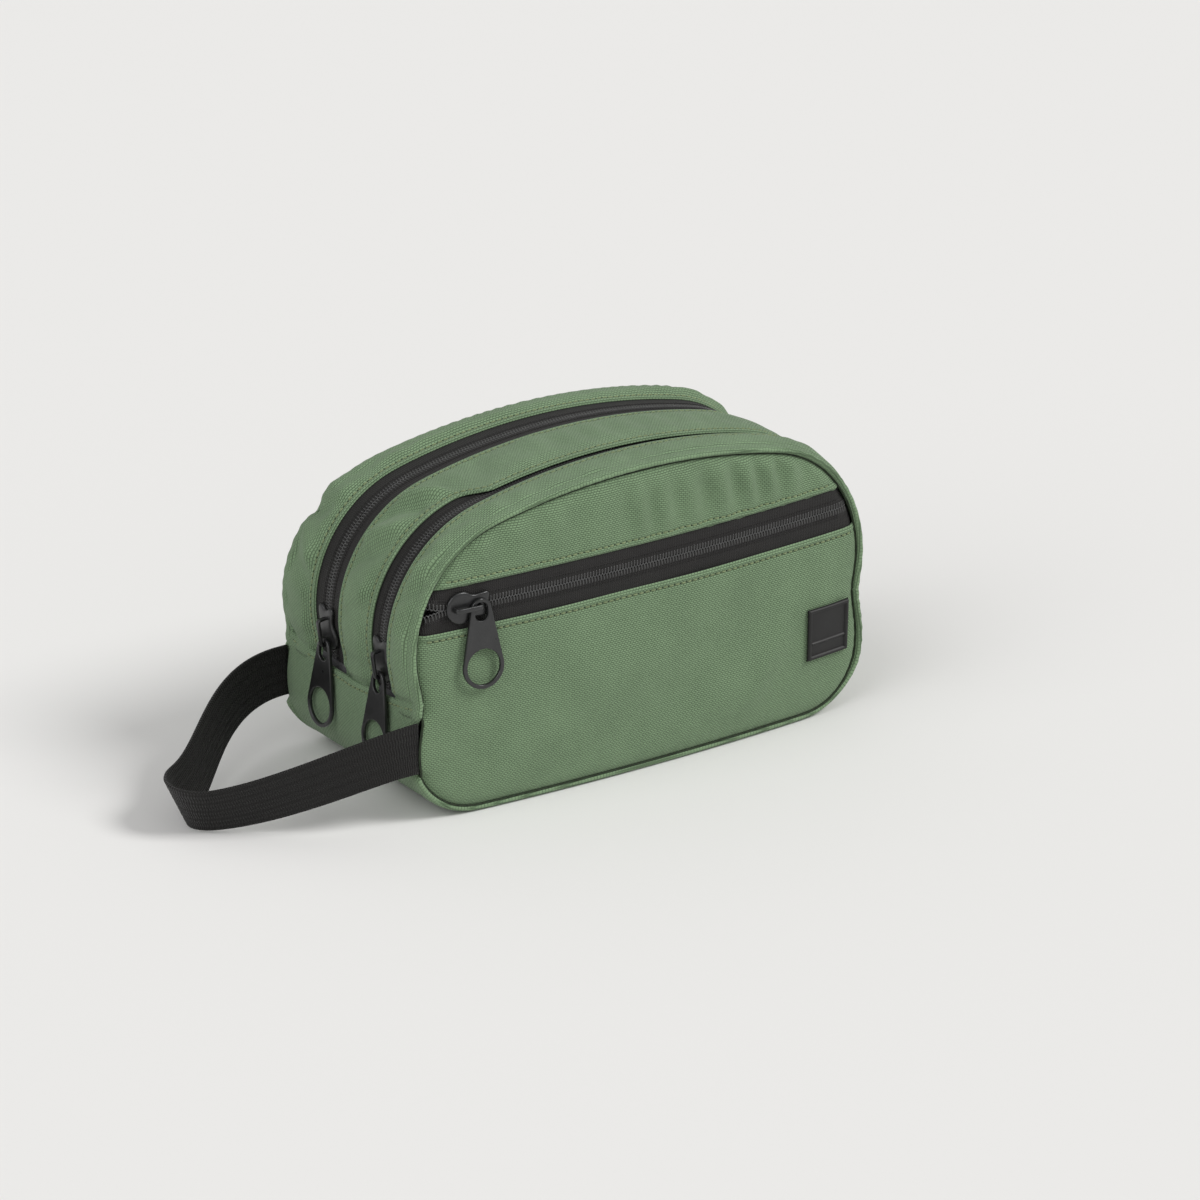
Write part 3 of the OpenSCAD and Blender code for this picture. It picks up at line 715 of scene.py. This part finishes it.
def base_grid():
    """The base gusset from end seam to end seam: its points and its cloth coordinates."""
    dy, lo = lip(ARCH_L + (LOOP_L - ARCH_L) * base_t)
    y_mid = np.linspace(0, 1, 44)
    rows_p, rows_uv = [], []
    for k, t in enumerate(base_t):
        s_mid = ARCH_L + (LOOP_L - ARCH_L) * t
        x, z = loop_at(s_mid)
        y_f, y_b = front_y(x, z) + dy[k], back_y(np.array(z)) - dy[k][::-1]
        y = np.concatenate([y_f, y_f[-1] + LIP_GAP + (y_b[0] - y_f[-1] - 2 * LIP_GAP) * y_mid, y_b])
        s = ARCH_L + end_dip(y) + (LOOP_L - ARCH_L - 2 * end_dip(y)) * t
        from_edge = np.minimum(s - ARCH_L - end_dip(y), LOOP_L - end_dip(y) - s)
        _, lz = loop_at(s)
        side = smooth(lz, 4, 30)
        w = np.clip((y - y_f[-1]) / (y_b[0] - y_f[-1]), 0, 1)
        puff = (0.75 + 0.75 * np.sin(np.pi * w)) * side * smooth(lz, 8, 24)
        puff += (0.3 * ripple(y + 0.5 * lz, 21, 51) + 0.25 * np.sin((y - lz) / 9)) * side * np.sin(np.pi * w)
        puff = puff + (fold_off(from_edge) + 0.35) * np.exp(-np.maximum(from_edge - 3, 0) / 3) * 0.9
        hold = at_strap(s) * np.maximum(hump(y, -HALF_D, 8), hump(y, HALF_D, 8))
        puff = puff * (1 - hold)
        off = np.concatenate([lo[k], puff[len(lo[k]):-len(lo[k])], lo[k][::-1]])
        edge_row = np.exp(-np.maximum(from_edge, 0) / 1.0)
        off = off - 0.5 * edge_row
        px, pz = loop_at(s, off)
        rows_p.append(np.stack([px, y, np.maximum(pz, 0.05)], -1))
        rows_uv.append(np.stack([s, y], -1))
    return np.array(rows_p), np.array(rows_uv)


base_p, base_uv = base_grid()
sheet("base_gusset_cloth", base_p, base_uv, STRIP_CLOTH_T, shell, ["base_gusset"], base_p - BAG_CORE)


# -------- top stitching
def grid_line(p, keep, value):
    """The line across a grid where the per-column measure keep reaches value, with outward normals."""
    n = grid_normals(p)
    if (n * (p - BAG_CORE)).sum() < 0:
        n = -n
    j = np.abs(keep - value).argmin(1)
    i = np.arange(len(p))
    return p[i, j], n[i, j]


rows_top = []
(front_p, _), (mid_p, _), (rear_p, _) = strips[0][2], strips[1][2], strips[2][2]
clear_of_ends = slice(5, -5)
for p, edge, sign in ((front_p, FRONT_FOLD, -1), (mid_p, MID_A, 1), (mid_p, MID_B, -1), (rear_p, REAR_FOLD, 1)):
    rows_top.append(tuple(v[clear_of_ends] for v in grid_line(p, p[..., 1], (edge + sign * STITCH_IN)[:, None])))
stitches("top_stitching", rows_top, thread, dark=seam_shade_paint)

rows_front = []
for level in (FRONT_Z0 - STITCH_IN, FRONT_Z1 + STITCH_IN):
    ends = seam_span(np.array([level]))
    x = np.linspace(ends[0][0] + 3, ends[1][0] - 3, 300)
    z = np.full_like(x, level)
    y = front_skin(x, z)
    rows_front.append((np.stack([x, y, z], -1), np.repeat([[0.0, -1.0, 0.05]], len(x), 0)))
stitches("front_stitching", rows_front, thread, dark=seam_shade_paint)

rows_end = []
for flip in (False, True):
    grid = base_p[::-1] if flip else base_p
    uv_s = base_uv[::-1] if flip else base_uv
    run = np.abs(uv_s[..., 0] - uv_s[:1, :, 0])
    pts, nrm = grid_line(grid.transpose(1, 0, 2), run.T, 2.9)
    rows_end.append((pts[8:-8], nrm[8:-8]))
stitches("end_stitching", rows_end, thread, dark=seam_shade_paint)


seam_x, seam_z = loop_at(SEAM_S, seam_off(SEAM_S) - 0.1)
# A dark line of painted shade lies in the groove between each panel and the gusset.
deep = 2.7 - 2.0 * at_strap(SEAM_S) - 1.3 * on_floor(SEAM_S)
for name, y in (("front_seam_painted_shade", front_y(seam_x, seam_z) + deep), ("rear_seam_painted_shade", back_y(seam_z) - deep)):
    line = np.stack([seam_x, y, np.maximum(seam_z, 0.6)], -1)
    verts, faces = tubes([np.concatenate([line, line[:2]])], SEAM_SHADE_R, [[0, 1, 0]])
    add(name, verts, faces, seam_shade_paint, "bag")


# -------- zips
def zip_split(x):
    """How far the front zip's two rows stand apart beyond the slider."""
    return 2.3 * (1 - smooth(x, -121, FRONT_SLIDER_X - SLIDER_L / 2 + 1.5))


def front_tape_point(x, v, out):
    """A point of the front zip at place x, height v from its middle and out from the tape's face."""
    x, z = np.broadcast_arrays(x, FRONT_ZIP_Z + v)
    gap, s = seam_gap(x, np.clip(z, FRONT_Z0, FRONT_Z1))
    y = front_y(x, z, SHELL_T + RUN_GAP) + np.maximum(edge_drop(gap, s), 0) * (gap < 16)
    return np.stack([x, y - out, z + 0 * y], -1)


def top_tape_point(s, v, out, zip_y):
    sink = 1.3 * smooth(np.maximum(-s, s - ARCH_L) - end_dip(zip_y + v), -3.5, -0.5)
    x, z = loop_at(s, -SHELL_T + out - sink)
    return np.stack([x, zip_y + v + 0 * x, z], -1)


# Distances from the middle of a zip at which its tapes need rows of points.
V_COLS = np.array([0.7, 0.85, 1.1, 1.6, 2.2, 2.8, 3.3, 3.8, 4.4, 5.2, 6.2, 7.4, 8.6, 9.8, 11.0, 12.2, 13.0])


def tape_relief(v):
    """The sewn ridge beside the coil and a faint roll across the tape."""
    return 0.12 * hump(v, 3.6, 0.5) - 0.1 * hump(v, 0.7, 0.25) - 0.1 * hump(v, 5.2, 0.8)


COIL_PITCH, COIL_POINTS, COIL_R = 1.6, 9, 0.36


def coil(name, s_from, s_to, side, place, up, node):
    """The nylon coil of one row: loops that lie flat on the tape and reach between the other row's loops."""
    turns = int((s_to - s_from) / COIL_PITCH)
    t = np.arange(turns * COIL_POINTS) / COIL_POINTS
    s = s_from + (t + 0.5 * (side > 0)) * COIL_PITCH
    c, w = np.cos(2 * np.pi * t), np.sin(2 * np.pi * t)
    line = place(s + 0.25 * COIL_PITCH * w, side * (1.15 - 1.55 * c), -0.3 + 0.18 * w)
    verts, faces = tubes([line], COIL_R, [up])
    add(name, verts, faces, nylon, "bag", [node])


x_l, x_r = seam_span(np.array([FRONT_ZIP_Z]))
tape_x = np.arange(x_l[0] + 0.6, x_r[0] - 0.5, 1.5)
for label, side in (("lower", -1), ("upper", 1)):
    vv = np.repeat(V_COLS[None], len(tape_x), 0)
    row_l, row_r = seam_span(FRONT_ZIP_Z + side * V_COLS)
    share = ((tape_x - tape_x[0]) / (tape_x[-1] - tape_x[0]))[:, None]
    xx = (row_l + 0.6)[None] * (1 - share) + (row_r - 0.6)[None] * share
    part = zip_split(xx) * (1 - smooth(vv, 2, 9))
    p = front_tape_point(xx, side * (vv + part), tape_relief(vv))
    sheet(f"front_zip_{label}_tape_cloth", p, np.stack([xx, vv * side], -1), TAPE_CLOTH_T, tape,
          [f"front_zip_{label}_tape"], np.array([0, -1, 0]))
    coil(f"front_zip_{label}_teeth", tape_x[0], tape_x[-1], side,
         lambda a, v, o, k=side: front_tape_point(a, v + k * zip_split(a), o), [0.2, -1, 0.3],
         f"front_zip_{label}_coil")

TAPE_TAIL = 8.5
tape_s = np.arange(-TAPE_TAIL, ARCH_L + TAPE_TAIL + 0.1, 1.5)
for place, zip_y in (("top_front", TOP_FRONT_Y), ("top_rear", TOP_REAR_Y)):
    for label, side in (("front", -1), ("rear", 1)):
        ss = np.repeat(tape_s[:, None], len(V_COLS), 1)
        vv = np.repeat(V_COLS[None], len(tape_s), 0)
        p = top_tape_point(ss, side * vv, tape_relief(vv), zip_y)
        sheet(f"{place}_zip_{label}_tape_cloth", p, np.stack([ss, vv * side], -1), TAPE_CLOTH_T, tape,
              [f"{place}_zip_{label}_tape"], outward_of(p))
        coil(f"{place}_zip_{label}_teeth", tape_s[0], tape_s[-1], side,
             lambda a, v, o, y=zip_y: top_tape_point(a, v, o, y), [0.2, 1, 0.3], f"{place}_zip_{label}_coil")


def tape_threads(name, place, s):
    """Fine sewing rows on the tape, either side of the coil."""
    lines = []
    for v in (-3.15, -4.15, 3.15, 4.15):
        p = place(s, v, 0.1)
        lines.append((p, place(s, v, 1.1) - p))
    stitches(name, lines, tape, pitch=1.6, length=1.25, radius=0.16)


tape_threads("front_zip_threads", lambda a, v, o: front_tape_point(a, v + np.sign(v) * zip_split(a), o), tape_x[4:-3])
tape_threads("top_front_zip_threads", lambda a, v, o: top_tape_point(a, v, o, TOP_FRONT_Y), tape_s[3:-3])
tape_threads("top_rear_zip_threads", lambda a, v, o: top_tape_point(a, v, o, TOP_REAR_Y), tape_s[3:-3])


# -------- sliders and pulls
PLATE_TOP = RUN_GAP + PLATE_T
LUG_GAP, LUG_T, LUG_W, FOOT_L, LUG_FROM, LUG_TO = 3.0, 1.4, 2.2, 1.6, -8.5, 6.0
PULL_N = PLATE_TOP + LUG_GAP / 2
EYE_R, EYE_LONG = 5.2, 2.0
EYE_HOLE_R = EYE_R - EYE_RIM
EYE_DROP = EYE_R - EYE_RIM / 2
RING_DROP = PULL_L - EYE_RIM / 2 - RING_D / 2
FRONT_FOOT_U = LUG_TO - FOOT_L / 2
FRONT_FOOT_DROP = EYE_RIM / 2 + 1.7
TOP_RIM_U = LUG_FROM + FOOT_L + 1.4
TOP_TAPE_R = SHOULDER_R - SHELL_T
TOP_SLIDER_A = math.asin((SLIDER_L / 2 + 1) / TOP_TAPE_R) - PINCH_A
FRONT_SIDE_R = SIDE_R - SHELL_T - RUN_GAP
FRONT_LEAN = math.asin((FRONT_ZIP_Z - BARREL_Z) / FRONT_SIDE_R)
FRONT_SLIDER_A = math.asin(FRONT_SLIDER_X / BARREL_R)


def move(x, y, z):
    return Matrix.Translation((x, y, z))


def turn(angle, axis):
    return Matrix.Rotation(angle, 4, axis)


ON_FRONT = (move(0, BARREL_Y, 0) @ turn(FRONT_SLIDER_A, "Z") @ move(0, -CORE, BARREL_Z) @ turn(-FRONT_LEAN, "X")
            @ move(0, -FRONT_SIDE_R, 0) @ turn(math.pi / 2, "X"))


def on_top(zip_y):
    return move(-SHOULDER_X, zip_y, SHOULDER_Z) @ turn(TOP_SLIDER_A - math.pi / 2, "Y") @ move(0, 0, TOP_TAPE_R)


def placed(verts, matrix):
    m = np.array(matrix)
    v = np.asarray(verts, float)
    return v @ m[:3, :3].T + m[:3, 3]


def slider_outline():
    """Round at the left end, waisted, then flared at its two throats."""
    r = SLIDER_W / 2
    c = -SLIDER_L / 2 + r
    neck = (SLIDER_W - 4) / 2
    right = SLIDER_L / 2
    a = np.linspace(math.radians(48), math.radians(312), 40)
    left = np.stack([c + r * np.cos(a), r * np.sin(a)], -1)
    side = np.array([[right - 7, -neck + 0.35], [right - 5, -neck + 0.1], [right - 2.6, -neck - 0.15],
                     [right - 1.2, -neck - 0.15], [right - 0.3, -neck + 0.45], [right, -neck + 1.4],
                     [right - 0.3, -2.8], [right - 1.6, -1.2]])
    return np.concatenate([left, side, side[::-1] * np.array([1, -1])])


def plate(low, high, crown, bevel, bend_r):
    """A slider's plate from height low to high, bevelled and crowned, and bent to radius bend_r unless that is 0."""
    line = slider_outline()
    mid = np.array([-1.5, 0])
    rings = [(1 - bevel / 8, low), (1.0, low + bevel * 0.7), (1.0, high - bevel), (1 - bevel / 18, high - bevel * 0.35),
             (1 - bevel / 7, high), (0.8, high + crown * 0.45), (0.5, high + crown * 0.85), (0.2, high + crown)]
    verts, n = [], len(line)
    for scale, z in rings:
        xy = mid + (line - mid) * scale
        zz = np.full(n, z)
        if bend_r:
            zz = np.sqrt((bend_r + z) ** 2 - xy[:, 0] ** 2) - bend_r
        verts += np.column_stack([xy, zz]).tolist()
    return verts, lofted(len(rings), n)


def bar(line, wide, thick):
    """A bar of rounded rectangular section along a line in the X-Z plane."""
    line = np.asarray(line, float)
    way = unit(np.gradient(line, axis=0))
    nrm = np.stack([-way[:, 1], way[:, 0]], -1)
    a = np.linspace(0, 2 * np.pi, 16, endpoint=False)
    cy = np.sign(np.cos(a)) * np.abs(np.cos(a)) ** 0.5 * wide / 2
    cn = np.sign(np.sin(a)) * np.abs(np.sin(a)) ** 0.5 * thick / 2
    verts = [[p[0] + n[0] * k, y, p[1] + n[1] * k] for p, n in zip(line, nrm) for y, k in zip(cy, cn)]
    return verts, lofted(len(line), len(a))


def join(parts):
    """Several (vertices, faces) as one."""
    verts, faces = [], []
    for v, f in parts:
        base = len(verts)
        verts += [list(p) for p in v]
        faces += [[i + base for i in face] for face in f]
    return verts, faces


def metal_piece(name, verts, faces, node, matrix, split):
    """A metal piece on the body named like its node, with edges sharper than split degrees kept crisp."""
    obj = add(name, placed(verts, matrix), faces, metal, node, [node])
    obj.modifiers.new("sharp", "EDGE_SPLIT").split_angle = math.radians(split)


def slider(name, node, matrix, bend_r):
    """Two plates, the post that joins them, and the lug that holds the pull."""
    inner_top = -TAPE_T - 2.0 - RUN_GAP
    mid = PLATE_TOP + LUG_GAP + LUG_T / 2
    a, b, r = LUG_FROM + FOOT_L / 2, LUG_TO - FOOT_L / 2, 1.2
    q = np.linspace(0, math.pi / 2, 7)
    line = [[a, 0.6], [a, 2.2]] + [[a + r - r * math.cos(t), mid - r + r * math.sin(t)] for t in q]
    line += [[x, mid] for x in np.linspace(a + r + 1.5, b - r - 1.5, 5)]
    line += [[b - r + r * math.sin(t), mid - r + r * math.cos(t)] for t in q] + [[b, 2.2], [b, 0.6]]
    blade = bar([[-6.5, inner_top - 0.6], [-6.5, 0.0], [-6.5, RUN_GAP + 0.8]], 0.9, 3.6)
    verts, faces = join([plate(RUN_GAP, PLATE_TOP, 0.22, 0.5, bend_r),
                         plate(inner_top - 1.2, inner_top, 0.0, 0.3, bend_r), blade, bar(line, LUG_W, LUG_T)])
    metal_piece(name, verts, faces, node, matrix, 38)


def pull_loops():
    """The pull's outer line and its two holes, hanging along -X."""
    e, g = -EYE_DROP, -RING_DROP
    r = RING_D / 2
    t = np.linspace(math.radians(-88), math.radians(88), 30)
    eye = np.stack([e + EYE_R * np.cos(t), EYE_R * np.sin(t)], -1)
    t = np.linspace(math.radians(72), math.radians(288), 44)
    ring = np.stack([g + r * np.cos(t), r * np.sin(t)], -1)
    outer = np.concatenate([eye, ring])
    t = np.linspace(-math.pi / 2, math.pi / 2, 16)
    hole = np.concatenate([np.stack([e + EYE_HOLE_R * np.cos(t), EYE_HOLE_R * np.sin(t)], -1),
                           np.stack([e - EYE_LONG - EYE_HOLE_R * np.cos(t), -EYE_HOLE_R * np.sin(t)], -1)])
    t = np.linspace(0, 2 * math.pi, 48, endpoint=False)
    inner = np.stack([g + (r - 2.0) * np.cos(t), (r - 2.0) * np.sin(t)], -1)
    return [outer, hole, inner]


def pull(name, node, matrix):
    """The flat pull with bevelled edges, from its outline and its two holes."""
    bevel = 0.45
    curve = bpy.data.curves.new(name + "_line", "CURVE")
    curve.dimensions = "2D"
    curve.fill_mode = "BOTH"
    curve.extrude = PULL_T / 2 - bevel
    curve.bevel_depth = bevel
    curve.bevel_resolution = 2
    curve.offset = -bevel
    for loop in pull_loops():
        spline = curve.splines.new("POLY")
        spline.points.add(len(loop) - 1)
        for point, (x, y) in zip(spline.points, loop):
            point.co = (x, y, 0, 1)
        spline.use_cyclic_u = True
    temp = bpy.data.objects.new(name + "_temp", curve)
    bpy.context.scene.collection.objects.link(temp)
    mesh = bpy.data.meshes.new_from_object(temp.evaluated_get(bpy.context.evaluated_depsgraph_get()))
    verts = [v.co[:] for v in mesh.vertices]
    faces = [list(f.vertices) for f in mesh.polygons]
    bpy.data.objects.remove(temp)
    bpy.data.curves.remove(curve)
    bpy.data.meshes.remove(mesh)
    metal_piece(name, verts, faces, node, matrix, 30)


slider("front_slider_body", "front_slider", ON_FRONT, 0)
pull("front_pull_tab", "front_pull",
     ON_FRONT @ move(FRONT_FOOT_U, 0, PULL_N) @ turn(math.pi / 2, "Z") @ move(FRONT_FOOT_DROP, 0, 0))
for place, zip_y in (("top_front", TOP_FRONT_Y), ("top_rear", TOP_REAR_Y)):
    slider(f"{place}_slider_body", f"{place}_slider", on_top(zip_y), TOP_TAPE_R)
    pull(f"{place}_pull_tab", f"{place}_pull",
         on_top(zip_y) @ move(TOP_RIM_U, 0, PULL_N) @ turn(math.radians(PULL_SPLAY) - TOP_SLIDER_A, "Y"))


# -------- label patch
lu = np.linspace(-LABEL_W / 2, LABEL_W / 2, 90)
lv = np.linspace(-LABEL_H / 2, LABEL_H / 2, 94)
uu, vv = np.meshgrid(lu, lv, indexing="ij")
rim = np.minimum(LABEL_W / 2 - np.abs(uu), LABEL_H / 2 - np.abs(vv))
height = 0.8 + 0.5 * smooth(rim, -0.1, 0.5) + 0.85 * (smooth(rim, 0.2, 0.5) - smooth(rim, 1.7, 2.0))
height += 0.75 * hump(vv, -4.6, 0.5) * smooth(rim, 1.8, 2.4)
label_x, label_z = LABEL_X + uu, LABEL_Z + vv
label_y = front_y(label_x, label_z) - swell_front(label_x, label_z)
sheet("label_rubber_patch", np.stack([label_x, label_y - height, label_z], -1), np.stack([uu, vv], -1), height - 0.12,
      rubber, ["label_patch"], np.array([0, -1, 0]))


# -------- handle
ROOT_X, ROOT_Y = -HALF_W - STRAP_ROOT_GAP, HALF_D - 1.8
END_X, LOW = ROOT_X - STRAP_REACH, STRAP_W / 2 + 0.2


def bezier(p, n):
    """n points of a cubic curve."""
    t = np.linspace(0, 1, n)[:, None]
    p = np.array(p, float)
    return (1 - t) ** 3 * p[0] + 3 * t * (1 - t) ** 2 * p[1] + 3 * t * t * (1 - t) * p[2] + t ** 3 * p[3]


turn_1, turn_2 = [END_X + 8, -13, LOW], [END_X + 9, 14, LOW]
front_root, rear_root = [ROOT_X, -ROOT_Y, STRAP_Z], [ROOT_X, ROOT_Y, STRAP_Z]
line = np.concatenate([
    bezier([front_root, [ROOT_X - 26, -ROOT_Y, STRAP_Z], [END_X + 34, -31, LOW + 4], turn_1], 49)[:-1],
    bezier([turn_1, [END_X - 3, -5.4, LOW - 1], [END_X - 2, 8.6, LOW - 1], turn_2], 33)[:-1],
    bezier([turn_2, [END_X + 31, 25, LOW + 2], [ROOT_X - 40, ROOT_Y, STRAP_Z], rear_root], 49)])
share = np.concatenate([np.arange(48) / 48 * 12, 12 + np.arange(32) / 32 * 8, 20 + np.arange(49) / 48 * 12]) / 32
line = np.concatenate([[[ROOT_X + 3.0, -ROOT_Y, STRAP_Z]], line, [[ROOT_X + 3.0, ROOT_Y, STRAP_Z]]])
share = np.concatenate([[0], share, [1]])
for _ in range(3):
    line[1:-1] = line[1:-1] * 0.5 + (line[:-2] + line[2:]) * 0.25
way = unit(np.gradient(line, axis=0))
lean = np.radians(24) * np.sin(np.pi * share)
side = unit(np.cross(way, [0, 0, 1.0]))
wide = unit(np.cross(side * np.cos(lean)[:, None] + np.array([0, 0, 1.0]) * np.sin(lean)[:, None], way))
out = np.cross(way, wide)
run = run_along(line)
half, thick = STRAP_W / 2, STRAP_T / 2
across = np.linspace(-half + 0.5, half - 0.5, 25)
cross_w = np.concatenate([across, [half - 0.12, half, half - 0.12], across[::-1], [-half + 0.12, -half, -half + 0.12]])
flat_t = 0.78 + 0.05 * np.cos(2 * np.pi * across / 3.1)
cross_t = np.concatenate([flat_t, [0.5, 0, -0.5], -flat_t[::-1], [-0.5, 0, 0.5]])
verts = (line[:, None] + wide[:, None] * cross_w[None, :, None]
         + out[:, None] * (cross_t * thick / 0.9)[None, :, None]).reshape(-1, 3)
count = len(cross_w)
strap_uv = np.stack([np.repeat(run[:, None], count, 1), np.repeat(cross_w[None], len(line), 0)], -1).reshape(-1, 2)
strap = add("handle_webbing_strap", verts, lofted(len(line), count), webbing, None, ["handle_strap"],
            strap_uv)
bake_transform(strap)


# -------- stage, lights and camera
floor_look = Nodes("floor_look")
floor_look.finish(Base_Color=(0.79, 0.785, 0.775, 1), Roughness=0.85, Specular_IOR_Level=0.15)
floor_mesh = bpy.data.meshes.new("floor")
floor_mesh.from_pydata([(-8, -8, 0), (8, -8, 0), (8, 8, 0), (-8, 8, 0)], [], [[0, 1, 2, 3]])
floor_mesh.materials.append(floor_look.mat)
floor = bpy.data.objects.new("floor", floor_mesh)
bpy.context.scene.collection.objects.link(floor)


def sun(name, azimuth, elevation, softness, power, colour):
    """A soft sun; the angles are in degrees, and azimuth 0 shines from straight in front."""
    data = bpy.data.lights.new(name, "SUN")
    data.angle = math.radians(softness)
    data.energy = power
    data.color = colour
    obj = bpy.data.objects.new(name, data)
    a, e = math.radians(azimuth), math.radians(elevation)
    toward = Vector((math.sin(a) * math.cos(e), -math.cos(a) * math.cos(e), math.sin(e)))
    obj.rotation_euler = toward.to_track_quat("Z", "Y").to_euler()
    bpy.context.scene.collection.objects.link(obj)


sun("key", 46, 42, 22, 1.85, (1.0, 0.995, 0.985))
sun("fill", -76, 40, 50, 1.1, (0.99, 0.995, 1.0))

world = bpy.data.worlds.new("studio")
world.use_nodes = True
world.node_tree.nodes["Background"].inputs[0].default_value = (1.0, 0.995, 0.985, 1)
world.node_tree.nodes["Background"].inputs[1].default_value = 0.44
bpy.context.scene.world = world
bpy.context.scene.view_settings.view_transform = "Standard"

# The camera's angles, its distance and how far it is moved sideways and down, in metres.
AZ, EL, DIST, MOVE_RIGHT, MOVE_DOWN = math.radians(-34.41), math.radians(22.46), 3.114, 0.01212, 0.00649
AIM = Vector((0, 0, 0.07))
back = Vector((math.sin(AZ) * math.cos(EL), -math.cos(AZ) * math.cos(EL), math.sin(EL)))
right = Vector((math.cos(AZ), math.sin(AZ), 0))
up = back.cross(right)
camera_data = bpy.data.cameras.new("camera")
camera_data.lens = 200.43
camera_data.sensor_width = 36
camera_data.clip_end = 50
camera = bpy.data.objects.new("camera", camera_data)
camera.matrix_world = Matrix((right, up, back)).transposed().to_4x4()
camera.location = AIM + back * DIST + right * MOVE_RIGHT - up * MOVE_DOWN
bpy.context.scene.collection.objects.link(camera)
bpy.context.scene.camera = camera
